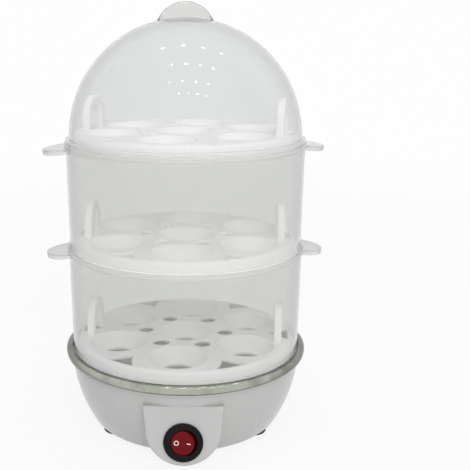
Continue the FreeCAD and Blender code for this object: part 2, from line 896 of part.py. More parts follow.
def switch_rocker():
    """Red rocker: a ball about its pivot with two flats on top, hollow below, off side pressed in."""
    pivot = Vector(0, 0, rocker_pivot)
    ball = Part.makeSphere(rocker_radius, pivot)
    size = rocker_radius * 2
    ridge = pivot + axis_up * rocker_ridge
    for side in (-1, 1):
        flat = block(size, size * 2, size, Vector(side * size * half_share, 0, ridge.z))
        flat.rotate(ridge, Vector(0, 1, 0), -side * rocker_half_travel)
        ball = ball.cut(flat)
    below = block(size, size, size, pivot - axis_up * (rocker_skirt + size))
    room = Part.makeSphere(rocker_radius - rocker_wall, pivot)
    roof = block(size, size, size, ridge - axis_up * rocker_wall)
    ball = ball.cut(room.cut(roof)).cut(below)
    pin = pillar(pivot_radius, pivot_reach * 2, pivot - Vector(0, pivot_reach, 0), Vector(0, 1, 0))
    hollow = pillar(pivot_radius, rocker_room() * 2, pivot - Vector(0, rocker_room(), 0), Vector(0, 1, 0))
    rocker = ball.fuse(pin.cut(hollow))
    rocker.rotate(pivot, Vector(0, 1, 0), -rocker_half_travel)
    return on_panel(rocker)


def rocker_room():
    """Half length of the free space inside the rocker along its pivot."""
    return rocker_radius - rocker_wall


def switch_lamp():
    """Small neon lamp on a stem on the floor of the switch's housing, under the rocker."""
    floor = switch_floor - switch_body_depth
    top = rocker_pivot + rocker_ridge - rocker_wall - lamp_gap
    lamp = softened(
        pillar(lamp_radius, lamp_length, Vector(0, 0, top - lamp_length)),
        lamp_round,
        lambda edge: middle_of(edge).z > top - lamp_round * half_share,
    )
    stem = pillar(lamp_radius * lamp_stem_share, top - lamp_length - floor, Vector(0, 0, floor))
    return on_panel(lamp.fuse(stem))


def switch_terminals():
    """Three push-on blades behind the switch."""
    blades = []
    for place in (-1, 0, 1):
        low = Vector(place * switch_blade_spread, 0, -switch_body_depth - switch_blade_length)
        blades.append(block(blade_thickness, switch_blade_width, switch_blade_length, low))
    return on_panel(Part.makeCompound(blades))


def switch_blade_tip(place):
    """Place just behind a blade of the switch, and the direction in which its wire leaves."""
    tip = Vector(place * switch_blade_spread, 0, -switch_body_depth - switch_blade_length - wire_gap)
    inward = panel_place.Rotation.multVec(Vector(0, 0, -1))
    return panel_place.multVec(tip), inward


def wire(points):
    """Round wire along straight runs joined by tangent bends."""
    edges = []
    place = points[0]
    for corner, after in zip(points[1:-1], points[2:]):
        inward = (place - corner).normalize()
        outward = (after - corner).normalize()
        half_angle = inward.getAngle(outward) * half_share
        reach = wire_bend / math.tan(half_angle)
        begin = corner + inward * reach
        end = corner + outward * reach
        bisector = (inward + outward).normalize()
        middle = corner + bisector * (wire_bend / math.sin(half_angle) - wire_bend)
        edges.append(Part.LineSegment(place, begin).toShape())
        edges.append(Part.Arc(begin, middle, end).toShape())
        place = end
    edges.append(Part.LineSegment(place, points[-1]).toShape())
    section = Part.Wire(Part.makeCircle(wire_radius, points[0], points[1] - points[0]))
    return Part.Wire(edges).makePipeShell([section], True, False)


def wires():
    """Wires between the block, the switch, the thermostat, the fuse and the heater."""
    low = cover_top + wire_low_height - foot_height
    block_front = block_place - block_depth * half_share - wire_gap
    block_side = block_width * half_share + wire_gap
    stat_foot = stat_body_bottom() - stat_pin_length - wire_gap
    fuse_end = fuse_length * half_share + wire_gap
    fuse_level = fuse_height()
    heater_foot = heater_leg + blade_length + wire_gap
    left_foot = heater_leg_top(-1) - axis_up * heater_foot
    right_foot = heater_leg_top(1) - axis_up * heater_foot
    run = wire_bend * 4
    out = {}
    for name, side in (("wire_live", -1), ("wire_lamp", 1)):
        tip, inward = switch_blade_tip(side)
        start = Vector(side * block_screw_spread, block_front, low)
        turning = tip + inward * run
        level = Vector(turning.x, turning.y + run, low)
        out[name] = wire([tip, turning, level, Vector(start.x, start.y - run, low), start])
    tip, inward = switch_blade_tip(0)
    turning = tip + inward * run
    pin = Vector(-stat_pin_spread, 0, stat_foot)
    below = Vector(pin.x, pin.y, low + wire_radius * 3)
    out["wire_switch"] = wire([tip, turning, Vector(pin.x, -run, below.z), below, pin])
    pin = Vector(stat_pin_spread, 0, stat_foot)
    below = Vector(pin.x, pin.y, low + wire_radius * 3)
    side_place = Vector(fuse_end + run, fuse_offset, below.z)
    above = Vector(side_place.x, fuse_offset, fuse_level)
    fuse_tip = Vector(fuse_end, fuse_offset, fuse_level)
    out["wire_thermostat"] = wire([pin, below, side_place, above, fuse_tip])
    out["wire_fuse"] = wire(
        [
            Vector(-fuse_end, fuse_offset, fuse_level),
            Vector(left_foot.x, fuse_offset, fuse_level),
            Vector(left_foot.x, fuse_offset, low),
            Vector(left_foot.x, left_foot.y, low),
            left_foot,
        ]
    )
    out["wire_heater"] = wire(
        [
            right_foot,
            Vector(right_foot.x, right_foot.y, low),
            Vector(right_foot.x, block_place, low),
            Vector(block_side, block_place, low),
        ]
    )
    return out


def tray_plate():
    """Tray's plate, shoulder, skirt and flange, with the plate's top at zero."""
    inner_shoulder = tray_shoulder - tray_wall
    arc = rounded_corner((tray_radius, 0), (-1, -1), tray_shoulder)
    inner_arc = rounded_corner((tray_radius - tray_wall, -tray_wall), (-1, -1), inner_shoulder)
    return turned(
        (0, 0),
        [
            (tray_radius - tray_shoulder, 0),
            (arc, (tray_radius, -tray_shoulder)),
            (tray_skirt_radius, -tray_skirt_height),
            (tray_flange_radius, -tray_skirt_height),
            (tray_flange_radius, -tray_seat_drop),
            (tray_skirt_radius - tray_wall, -tray_seat_drop),
            (tray_radius - tray_wall, -tray_shoulder),
            (inner_arc, (tray_radius - tray_shoulder, -tray_wall)),
            (0, -tray_wall),
        ],
    )


def dish_ball():
    """Radius of the egg dish's ball and the height of its centre above the plate."""
    spread = egg_dish_radius ** 2 - egg_hole_radius ** 2 - egg_dish_depth ** 2
    rise = spread / (egg_dish_depth * 2)
    return math.hypot(egg_dish_radius, rise), rise


def dish_wall():
    """Ball-shaped wall under one egg dish, from the middle of the plate down."""
    ball, rise = dish_ball()
    outer = ball + tray_wall
    top = -tray_wall * half_share
    foot = rise - math.sqrt(outer ** 2 - (egg_hole_radius - tray_wall) ** 2)
    reach = math.sqrt(outer ** 2 - (rise - top) ** 2)
    angle = (math.asin((egg_hole_radius - tray_wall) / outer) + math.asin(reach / outer)) * half_share
    middle = (outer * math.sin(angle), rise - outer * math.cos(angle))
    return turned((0, foot), [(egg_hole_radius - tray_wall, foot), (middle, (reach, top)), (0, top)])


def dish_room():
    """Space in one egg dish, rounded at its rim, and the hole below it."""
    ball, rise = dish_ball()
    scale = ball / (ball + dish_edge_round)
    rim = math.sqrt((ball + dish_edge_round) ** 2 - (rise + dish_edge_round) ** 2)
    touch = (rim * scale, rise - (rise + dish_edge_round) * scale)
    lean = math.atan2(rim, rise + dish_edge_round)
    half_lean = lean * half_share
    edge_middle = (
        rim - dish_edge_round * math.sin(half_lean),
        dish_edge_round * math.cos(half_lean) - dish_edge_round,
    )
    angle = (lean + math.asin(egg_hole_radius / ball)) * half_share
    wall_middle = (ball * math.sin(angle), rise - ball * math.cos(angle))
    low = -egg_dish_depth * 2
    return turned(
        (0, low),
        [
            (egg_hole_radius, low),
            (egg_hole_radius, -egg_dish_depth),
            (wall_middle, touch),
            (edge_middle, (rim, 0)),
            (rim, overrun),
            (0, overrun),
        ],
    )


def egg_places():
    """Places of the egg dishes: one at the middle and the others round it."""
    outer = [spot(egg_pitch, full_turn / outer_egg_count * number) for number in range(outer_egg_count)]
    return [centre] + outer


def between_turns():
    """Turns half way between the outer egg dishes."""
    step = full_turn / outer_egg_count
    return [step * (number + half_share) for number in range(outer_egg_count)]


def rim_opening():
    """Three-sided opening near the rim, at the front, as a tall prism."""
    half = rim_opening_half_turn
    left = spot(rim_opening_outer, -half)
    right = spot(rim_opening_outer, half)
    tip = spot(rim_opening_inner, 0)
    edges = [Part.Arc(left, spot(rim_opening_outer, 0), right).toShape()]
    for begin, end in ((right, tip), (tip, left)):
        middle = (begin + end) * half_share
        inward = (spot(rim_opening_outer - rim_opening_hollow * 4, 0) - middle).normalize()
        edges.append(Part.Arc(begin, middle + inward * rim_opening_hollow, end).toShape())
    face = Part.Face(Part.Wire(edges))
    height = egg_dish_depth * 4
    face.translate(Vector(0, 0, -height * half_share))
    prism = face.extrude(Vector(0, 0, height))
    return softened(
        prism,
        rim_opening_round,
        lambda edge: edge.BoundBox.ZLength > height * half_share,
    )


def loop_prism(foot_half_width, crown_half_width, height, corner, foot):
    """Upright prism across the front turn, narrower at its crown, with round top corners."""
    points = [
        Vector(-foot_half_width, 0, foot),
        Vector(-crown_half_width, 0, height),
        Vector(crown_half_width, 0, height),
        Vector(foot_half_width, 0, foot),
        Vector(-foot_half_width, 0, foot),
    ]
    face = Part.Face(Part.makePolygon(points))
    face.translate(Vector(0, -loop_circle - loop_thickness * half_share, 0))
    prism = face.extrude(Vector(0, loop_thickness, 0))
    return softened(
        prism,
        corner,
        lambda edge: middle_of(edge).z > height * half_share and edge.BoundBox.XLength < overrun,
    )


def finger_loop():
    """Upright loop beside the rim at the front turn, with its feet in the plate."""
    foot = -tray_wall * half_share
    outer = loop_prism(loop_foot_half_width, loop_crown_half_width, loop_height, loop_corner, foot)
    slot_height = loop_height - loop_crown
    inner = loop_prism(
        loop_foot_half_width - loop_leg,
        loop_crown_half_width - loop_crown_leg,
        slot_height,
        loop_slot_corner,
        foot - overrun,
    )
    return softened(
        outer.cut(inner),
        loop_round,
        lambda edge: middle_of(edge).z > foot and edge.BoundBox.YLength < loop_thickness * half_share,
    )


def egg_tray():
    """White tray with seven egg dishes, steam holes, rim openings and two finger loops."""
    walls = []
    rooms = []
    for place in egg_places():
        for shape, group in ((dish_wall(), walls), (dish_room(), rooms)):
            shape.translate(place)
            group.append(shape)
    opening = rim_opening()
    for turn in between_turns():
        start = spot(steam_hole_circle, turn, -egg_dish_depth)
        rooms.append(pillar(steam_hole_radius, egg_dish_depth * 2, start))
        rooms.append(turn_about(opening, turn))
    tray = tray_plate().multiFuse(walls).cut(Part.makeCompound(rooms))
    loop = finger_loop()
    return tray.multiFuse([turn_about(loop, quarter_turn), turn_about(loop, -quarter_turn)])


def ear():
    """Rounded ear at the front turn, drooping a little, hollow below, at its root's height of zero."""
    plate = softened(
        pillar(ear_radius, ear_thickness, spot(ear_circle, 0, -ear_thickness)),
        ear_round,
        lambda edge: middle_of(edge).z > -ear_thickness * half_share and edge.Length > ear_radius,
    )
    hollow = pillar(ear_radius - ear_skin, ear_thickness - ear_skin, spot(ear_circle, 0, -ear_thickness))
    tab = plate.cut(hollow)
    tab.rotate(spot(tier_top_radius, 0), Vector(1, 0, 0), ear_droop)
    return tab


def tier():
    """Clear storey wall with its rim and ears, with its foot at zero."""
    height = storey_pitch - stack_gap
    rim_bottom = height - tier_rim_thickness
    ledge = height + stack_gap - tray_flange_thickness
    inner_foot = tier_foot_radius - tier_wall
    inner_top = tier_top_radius - tier_wall
    low_arc = rounded_corner((tier_rim_radius, rim_bottom), (-1, 1), tier_rim_round)
    top_arc = rounded_corner((tier_rim_radius, height), (-1, -1), tier_rim_round)
    wall = turned(
        (inner_foot, 0),
        [
            (tier_foot_radius, 0),
            (tier_top_radius, rim_bottom),
            (tier_rim_radius - tier_rim_round, rim_bottom),
            (low_arc, (tier_rim_radius, rim_bottom + tier_rim_round)),
            (tier_rim_radius, height - tier_rim_round),
            (top_arc, (tier_rim_radius - tier_rim_round, height)),
            (tier_rebate_radius, height),
            (tier_rebate_radius, ledge),
            (tier_ledge_inner_radius, ledge),
            (tier_ledge_inner_radius, ledge - tier_wall),
            (inner_top, rim_bottom - tier_wall),
        ],
    )
    half_wall = tier_wall * half_share
    room = Part.makeCone(inner_foot + half_wall, inner_top + half_wall, height, centre, axis_up)
    ears = []
    for side in (-1, 1):
        tab = ear()
        tab.translate(Vector(0, 0, height + stack_gap + tray_skirt_height - ear_drop))
        ears.append(turn_about(tab, side * quarter_turn).cut(room))
    return wall.multiFuse(ears)


def lid_dome(inset):
    """Dome on a short straight foot, drawn in by an inset."""
    radius = lid_radius - inset
    middle = Vector(0, 0, lid_height - lid_radius)
    cap = Part.makeSphere(radius, middle, axis_up, 0, quarter_turn, full_turn)
    return cap.fuse(pillar(radius, middle.z, centre))


def lid_grip(inset):
    """Half disc that stands on the dome, thinner at its crown, drawn in by an inset."""
    top = lid_height + grip_height
    low = top - grip_radius
    taper = (grip_foot_thickness - grip_crown_thickness) * half_share / grip_height
    crown_half = grip_crown_thickness * half_share - inset
    low_half = crown_half + taper * grip_radius
    left = -grip_radius
    points = [
        Vector(left, -low_half, low),
        Vector(left, low_half, low),
        Vector(left, crown_half, top),
        Vector(left, -crown_half, top),
        Vector(left, -low_half, low),
    ]
    wedge = Part.Face(Part.makePolygon(points)).extrude(Vector(grip_radius * 2, 0, 0))
    disc = pillar(grip_radius - inset, low_half * 2, Vector(0, -low_half, low), Vector(0, 1, 0))
    return wedge.common(disc)


def lid():
    """Clear domed lid with its flange and hollow grip, with its foot at zero."""
    grip_middle = lid_height + grip_height - grip_radius * half_share
    grip = softened(
        lid_grip(0),
        grip_round,
        lambda edge: middle_of(edge).z > grip_middle - grip_round and edge.Length > grip_radius,
    )
    flange = pillar(lid_flange_radius, lid_flange_thickness, centre)
    outside = lid_dome(0).multiFuse([grip, flange])
    below = pillar(lid_radius - lid_wall, overrun * 2, Vector(0, 0, -overrun))
    inside = lid_dome(lid_wall).multiFuse([lid_grip(grip_wall), below])
    return outside.cut(inside)


def save(name, shape):
    """Write one node, healed to plain solids."""
    shape = shape.removeSplitter() if shape.ShapeType != "Compound" else shape
    shape.exportStep("parts/%s.step" % name)
    print(name, len(shape.Solids), shape.isValid(), round(shape.Volume, 1))


def main():
    """Build every node in its place and write it."""
    os.makedirs("parts", exist_ok=True)
    fixed = {
        "base_shell": base_shell,
        "trim_ring": trim_ring,
        "heating_pan": heating_pan,
        "pan_seal": pan_seal,
        "pan_screws": pan_screws,
        "heating_element": heating_element,
        "element_terminals": element_terminals,
        "element_clamps": element_clamps,
        "stud_nuts": stud_nuts,
        "thermostat_cap": thermostat_cap,
        "thermostat_body": thermostat_body,
        "thermostat_bracket": thermostat_bracket,
        "thermal_fuse": thermal_fuse,
        "fuse_clip": fuse_clip,
        "bottom_cover": bottom_cover,
        "cover_screws": cover_screws,
        "feet": feet,
        "cord_inlet": cord_inlet,
        "terminal_block": terminal_block,
        "block_screws": block_screws,
        "switch_body": switch_body,
        "switch_rocker": switch_rocker,
        "switch_lamp": switch_lamp,
        "switch_terminals": switch_terminals,
    }
    for name, make in fixed.items():
        save(name, make())
    for name, shape in wires().items():
        save(name, shape)
    tray = egg_tray()
    for name, turn, height in zip(tray_names, tray_turns, tray_heights):
        save(name, raised(turn_about(tray, turn), height))
    storey = tier()
    for name, turn, height in zip(tier_names, tier_turns, tray_heights):
        save(name, raised(turn_about(storey, turn), height - tray_skirt_height))
    save("lid", raised(lid(), tray_heights[-1] - tray_skirt_height))


main()
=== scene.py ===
"""Three-storey electric egg boiler: the finished pieces, materials, light and camera."""

from __future__ import annotations

import json
import logging
import math
from dataclasses import dataclass
from enum import Enum
from typing import Callable, Iterable, Optional, Union

import bmesh
import bpy
from mathutils import Matrix, Vector

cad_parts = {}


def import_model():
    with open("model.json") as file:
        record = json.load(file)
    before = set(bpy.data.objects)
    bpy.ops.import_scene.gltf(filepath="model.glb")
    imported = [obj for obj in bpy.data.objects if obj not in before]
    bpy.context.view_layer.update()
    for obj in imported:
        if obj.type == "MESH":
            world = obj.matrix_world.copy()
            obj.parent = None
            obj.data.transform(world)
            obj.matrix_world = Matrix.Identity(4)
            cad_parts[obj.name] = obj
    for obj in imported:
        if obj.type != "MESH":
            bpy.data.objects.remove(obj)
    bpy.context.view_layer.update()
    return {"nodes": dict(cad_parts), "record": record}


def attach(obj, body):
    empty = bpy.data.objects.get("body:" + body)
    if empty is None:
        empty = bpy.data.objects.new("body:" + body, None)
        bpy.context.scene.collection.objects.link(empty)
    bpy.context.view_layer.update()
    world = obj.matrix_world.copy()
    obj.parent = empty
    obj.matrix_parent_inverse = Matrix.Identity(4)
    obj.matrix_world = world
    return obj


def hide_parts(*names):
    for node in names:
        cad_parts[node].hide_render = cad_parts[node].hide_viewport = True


LOG = logging.getLogger("egg_boiler")
MM = 0.001
# Corners of a solid that lie closer together than this, in millimetres, become one.
MERGE_MM = 0.0005
# The same along a fresh plane cut.
CUT_MERGE_MM = 0.01
# Steps of a large spun solid round the full turn.
SPIN_STEPS = 192
# Edges whose faces meet at more than this are rounded.
SHARP_DEGREES = 35.0
# Smooth shading stops at edges whose faces meet at more than this.
SMOOTH_DEGREES = 32.0
# Height of the lower tray's plate, the step to the next one, and how far a wall's foot lies below its plate.
FIRST_PLATE = 58.05
STOREY_STEP = 64.72
WALL_DROP = 6.0

Pair = tuple[float, float]
Triple = tuple[float, float, float]
Colour = tuple[float, float, float, float]
Mesh = bmesh.types.BMesh
Tree = bpy.types.NodeTree
Socket = bpy.types.NodeSocket


def linear(code: str) -> Colour:
    """Turn an sRGB hex colour linear.

    Args:
        code: Six hex digits.

    Returns:
        Linear red, green and blue with an alpha of one.
    """
    channels = []
    for start in (0, 2, 4):
        value = int(code[start:start + 2], 16) / 255.0
        channels.append(value / 12.92 if value <= 0.04045 else ((value + 0.055) / 1.055) ** 2.4)
    return channels[0], channels[1], channels[2], 1.0


def add_node(
    tree: Tree,
    kind: str,
    settings: Optional[dict] = None,
    links: Optional[dict] = None,
) -> bpy.types.Node:
    """Add a node, set it and link its inputs.

    Args:
        tree: Node tree that takes the node.
        kind: Blender's name of the node type.
        settings: Input values by input name or index, or properties by name.
        links: Output sockets by input name or index.

    Returns:
        The new node.
    """
    node = tree.nodes.new(kind)
    for key, value in (settings or {}).items():
        if isinstance(key, str) and hasattr(node, key):
            setattr(node, key, value)
        else:
            node.inputs[key].default_value = value
    for key, socket in (links or {}).items():
        tree.links.new(socket, node.inputs[key])
    return node


def emptied(owner: Union[bpy.types.Material, bpy.types.World]) -> Tree:
    """Turn on a material's or world's nodes, clear them and return the tree."""
    owner.use_nodes = True
    owner.node_tree.nodes.clear()
    return owner.node_tree


def object_place(tree: Tree) -> Socket:
    """Place on the object, in metres."""
    return add_node(tree, "ShaderNodeTexCoord").outputs["Object"]


def noise(tree: Tree, place: Socket, size_mm: float, detail: float, roughness: float) -> Socket:
    """Noise, from zero to one, whose largest spots have a size in millimetres."""
    settings = {"Scale": 1.0 / (size_mm * MM), "Detail": detail, "Roughness": roughness}
    return add_node(tree, "ShaderNodeTexNoise", settings, {"Vector": place}).outputs["Fac"]


def ranged(tree: Tree, value: Socket, low: float, high: float, source: Pair = (0.0, 1.0)) -> Socket:
    """Value mapped from a source range to another range, and held inside it."""
    settings = {1: source[0], 2: source[1], 3: low, 4: high}
    return add_node(tree, "ShaderNodeMapRange", settings, {0: value}).outputs[0]


def tinted(tree: Tree, share: Socket, first: Colour, second: Colour) -> Socket:
    """Colour between two linear colours, the first one at a share of zero."""
    settings = {"data_type": "RGBA", 6: first, 7: second}
    return add_node(tree, "ShaderNodeMix", settings, {0: share}).outputs[2]


def bumped(tree: Tree, height: Socket, strength: float, relief_mm: float) -> Socket:
    """Normal that leans after a pattern of heights with a relief in millimetres."""
    settings = {"Strength": strength, "Distance": relief_mm * MM}
    return add_node(tree, "ShaderNodeBump", settings, {"Height": height}).outputs[0]


def turned_away(tree: Tree, source: Pair) -> Socket:
    """Share that grows over a source range as the surface turns away from the eye."""
    facing = add_node(tree, "ShaderNodeLayerWeight", {"Blend": 0.5}).outputs["Facing"]
    return ranged(tree, facing, 0.0, 1.0, source)


def either(tree: Tree, first: Socket, second: Socket) -> Socket:
    """Larger of two values."""
    return add_node(tree, "ShaderNodeMath", {"operation": "MAXIMUM"}, {0: first, 1: second}).outputs[0]


def mixed(tree: Tree, share: Socket, first: bpy.types.Node, second: bpy.types.Node) -> Socket:
    """Mix of two shaders, the first one at a share of zero."""
    links = {0: share, 1: first.outputs[0], 2: second.outputs[0]}
    return add_node(tree, "ShaderNodeMixShader", {}, links).outputs[0]


class Combine(Enum):
    """How one closed mesh is joined with others."""

    ADD = "UNION"
    TAKE = "DIFFERENCE"


class Brushing(Enum):
    """Way in which a metal's surface was worked."""

    NONE = "none"
    ROUND = "round"


@dataclass(frozen=True)
class MouldedPlastic:
    """Opaque injection moulded plastic with a fine grain and a little flow shading."""

    name: str
    colour: str
    roughness: float = 0.32
    flow_mm: float = 35.7
    grain_mm: float = 0.9
    relief_mm: float = 0.012
    mottle: float = 0.03
    softness: float = 0.0
    coat: float = 0.0
    gloss: float = 0.5
    ior: float = 1.53

    def build(self) -> bpy.types.Material:
        """Make the material.

        Returns:
            The finished material.
        """
        material = bpy.data.materials.new(self.name)
        tree = emptied(material)
        place = object_place(tree)
        flow = noise(tree, place, self.flow_mm, 3.0, 0.5)
        grain = noise(tree, place, self.grain_mm, 2.0, 0.55)
        base = linear(self.colour)
        shade = tuple(channel * (1.0 - self.mottle * 2.0) for channel in base[:3]) + (1.0,)
        shader = add_node(
            tree,
            "ShaderNodeBsdfPrincipled",
            {
                "IOR": self.ior,
                "Specular IOR Level": self.gloss,
                "Subsurface Weight": self.softness,
                "Subsurface Radius": (0.004, 0.004, 0.0036),
                "Subsurface Scale": 1.0,
                "Coat Weight": self.coat,
                "Coat Roughness": 0.08,
            },
            {
                "Base Color": tinted(tree, flow, shade, base),
                "Roughness": ranged(tree, flow, self.roughness * 0.85, self.roughness * 1.15),
                "Normal": bumped(tree, grain, 0.35, self.relief_mm),
            },
        )
        add_node(tree, "ShaderNodeOutputMaterial", {}, {"Surface": shader.outputs[0]})
        return material


@dataclass(frozen=True)
class ClearPlastic:
    """Clear moulded plastic that a little haze makes milky, with faint ripples from the mould and painted
    shade towards its outline.
    """

    name: str
    colour: str
    roughness: float
    clearness: float
    # Grey of the painted shade towards the outline.
    outline: str = "A6A8A9"
    shade: str = "FAFAFA"
    ripple_mm: float = 14.0
    haze_mm: float = 6.25
    relief_mm: float = 0.05
    ior: float = 1.49

    def build(self) -> bpy.types.Material:
        """Make the material.

        Returns:
            The finished material.
        """
        material = bpy.data.materials.new(self.name)
        tree = emptied(material)
        place = object_place(tree)
        ripple = noise(tree, place, self.ripple_mm, 1.5, 0.4)
        haze = noise(tree, place, self.haze_mm, 4.0, 0.6)
        # Towards its outline the eye looks through more of the plastic; the grey there is painted shade.
        painted_outline_shade = turned_away(tree, (0.55, 1.0))
        shader = add_node(
            tree,
            "ShaderNodeBsdfPrincipled",
            {"IOR": self.ior, "Transmission Weight": self.clearness},
            {
                "Base Color": tinted(tree, painted_outline_shade, linear(self.colour), linear(self.outline)),
                "Roughness": ranged(tree, haze, self.roughness * 0.8, self.roughness * 1.2),
                "Normal": bumped(tree, ripple, 0.3, self.relief_mm),
            },
        )
        # Light on its way to or from what stands inside passes straight through.
        passing = add_node(tree, "ShaderNodeBsdfTransparent", {"Color": linear(self.shade)})
        sight = add_node(tree, "ShaderNodeLightPath")
        inner = either(tree, sight.outputs["Is Shadow Ray"], sight.outputs["Is Diffuse Ray"])
        add_node(tree, "ShaderNodeOutputMaterial", {}, {"Surface": mixed(tree, inner, shader, passing)})
        return material


@dataclass(frozen=True)
class Metal:
    """Bare or plated metal with fine working marks, and painted shade where it turns away from the eye."""

    name: str
    colour: str
    roughness: float
    brushing: Brushing = Brushing.NONE
    line_mm: float = 0.4
    relief_mm: float = 0.004
    patch_mm: float = 16.67
    stain: str = "6E6A62"
    stain_share: float = 0.08
    # Colour of the painted shade where the metal turns away from the eye.
    edge: str = "8A8A87"

    def build(self) -> bpy.types.Material:
        """Make the material.

        Returns:
            The finished material.
        """
        material = bpy.data.materials.new(self.name)
        tree = emptied(material)
        place = object_place(tree)
        along = place
        if self.brushing is Brushing.ROUND:
            split = add_node(tree, "ShaderNodeSeparateXYZ", {}, {0: place})
            flat = add_node(tree, "ShaderNodeCombineXYZ", {}, {0: split.outputs[0], 1: split.outputs[1]})
            reach = add_node(tree, "ShaderNodeVectorMath", {"operation": "LENGTH"}, {0: flat.outputs[0]})
            links = {0: reach.outputs["Value"], 2: split.outputs[2]}
            along = add_node(tree, "ShaderNodeCombineXYZ", {}, links).outputs[0]
        lines = noise(tree, along, self.line_mm, 2.0, 0.6)
        patches = noise(tree, place, self.patch_mm, 5.0, 0.6)
        spread = ranged(tree, patches, 0.0, self.stain_share * 4.0, (0.45, 0.8))
        worn = tinted(tree, spread, linear(self.colour), linear(self.stain))
        # Painted shade: bright metal is darkened towards the edge colour where it turns away from the eye.
        tone_with_painted_edge_shade = add_node(
            tree,
            "ShaderNodeMix",
            {"data_type": "RGBA", 7: linear(self.edge)},
            {0: turned_away(tree, (0.3, 0.8)), 6: worn},
        ).outputs[2]
        shader = add_node(
            tree,
            "ShaderNodeBsdfPrincipled",
            {"Metallic": 1.0},
            {
                "Base Color": tone_with_painted_edge_shade,
                "Roughness": ranged(tree, lines, self.roughness * 0.75, self.roughness * 1.3),
                "Normal": bumped(tree, lines, 0.4, self.relief_mm),
            },
        )
        add_node(tree, "ShaderNodeOutputMaterial", {}, {"Surface": shader.outputs[0]})
        return material


class Finishes:
    """Every finish of the boiler by the record's slot name."""

    def __init__(self) -> None:
        """Make each material once."""
        makers = {
            # Gloss moulded ABS: a cool off-white with soft wide highlights.
            "white_shell": MouldedPlastic("gloss_abs", "B9BAB8", 0.26, coat=0.25, relief_mm=0.02),
            # Chrome plated ABS ring: streaks of the room in its shine, darker patches, a painted dark
            # reflection towards its outline and a warm green cast.
            "bright_ring": Metal(
                "chromed_abs",
                "B0B4A8",
                0.09,
                line_mm=1.6,
                relief_mm=0.05,
                stain_share=0.2,
                # Dark painted reflection where the ring turns away from the eye.
                edge="474843",
            ),
            # Stainless sheet: a soft grey shine drawn out round the middle.
            "steel_sheet": Metal("stainless_sheet", "BDBCB8", 0.28, Brushing.ROUND),
            # Silicone rubber: matt and warm grey.
            "silicone": MouldedPlastic("silicone_rubber", "C9C6BF", 0.6, ior=1.41),
            # Zinc plated steel: cool grey with a few dull patches.
            "zinc_steel": Metal("zinc_plated_steel", "B4B7BC", 0.36, stain="8C8A80"),
            # Alloy tube that has glowed: grey with brown scale.
            "heater_tube": Metal("oxidised_alloy_tube", "8A8782", 0.5, stain="4A4036", stain_share=0.16),
            # Tinned brass: pale gold with a half bright shine.
            "brass_blade": Metal("tinned_brass", "C9A961", 0.34),
            # Drawn aluminium: light grey with fine rings.
            "cap_aluminium": Metal("drawn_aluminium", "CBCCCE", 0.3, Brushing.ROUND),
            # Phenolic moulding: dark brown with a dull shine.
            "brown_moulding": MouldedPlastic("phenolic_moulding", "3C2A20", 0.45),
            # Tinned copper: a soft silver that has lost its gloss.
            "fuse_metal": Metal("tinned_copper_shell", "BDB9AE", 0.38),
            # Matt ABS: light grey with a visible grain and no highlight.
            "white_cover": MouldedPlastic("matt_abs", "D6D6D2", 0.5, grain_mm=0.6, relief_mm=0.05),
            # Nitrile rubber: black and dull.
            "foot_rubber": MouldedPlastic(
                "nitrile_rubber",
                "1E1E1F",
                0.75,
                grain_mm=0.5,
                relief_mm=0.06,
                ior=1.5,
            ),
            # Soft vinyl: black with a weak shine.
            "black_bush": MouldedPlastic("soft_vinyl", "1A1A1B", 0.55),
            # Urea moulding: cream with a silk shine.
            "block_moulding": MouldedPlastic("urea_moulding", "D9D5C4", 0.4),
            # Gloss nylon: near black with narrow highlights.
            "black_bezel": MouldedPlastic("gloss_nylon", "0A0A0B", 0.2, grain_mm=0.7, gloss=0.15),
            # Tinted polycarbonate rocker: a clear red with a hard gloss.
            "red_rocker": MouldedPlastic("red_polycarbonate", "6A080D", 0.2, ior=1.58, gloss=0.1),
            # Wire sleeves of PVC: plain red and blue with a silk shine.
            "red_wire": MouldedPlastic("red_pvc", "9C1C18", 0.42),
            "blue_wire": MouldedPlastic("blue_pvc", "1C3C86", 0.42),
            # Moulded polypropylene trays: white with light that sinks in at thin edges.
            "tray_white": MouldedPlastic("white_polypropylene", "FBFAF7", 0.4, softness=0.6, ior=1.49),
            # Clear polystyrene walls: see-through with a milky haze and sharp edge lines, whose grey at the
            # outline is painted shade.
            "clear_wall": ClearPlastic("clear_polystyrene", "E7E8E6", 0.05, 0.88),
            # The dome's polystyrene: clearer, so that the ceiling lamps stand out on it.
            "clear_lid": ClearPlastic("clear_polystyrene_dome", "ECEDED", 0.04, 0.9),
            # Lamp glass: clear with an orange tint from the gas inside.
            "lamp_glass": ClearPlastic("lamp_glass", "F4C9A0", 0.02, 1.0, ripple_mm=2.0),
        }
        self.by_slot = {slot: maker.build() for slot, maker in makers.items()}
        # The same clear polystyrene where it is thick: rims, ears and grip look milky.
        self.thick = ClearPlastic("clear_polystyrene_thick", "E0E0DE", 0.08, 0.6).build()
        # Printed ink: a light grey that lies flat on the rocker.
        self.ink = MouldedPlastic("pad_printed_ink", "ECECEC", 0.5, grain_mm=0.3).build()

    def dress(self, node: bpy.types.Object, slot: str) -> None:
        """Give a carried-over node the finish of its slot.

        Args:
            node: The node's object.
            slot: Name of the record's material slot.
        """
        for holder in node.material_slots:
            holder.material = self.by_slot[slot]
        LOG.info("dressed %s as %s", node.name, slot)


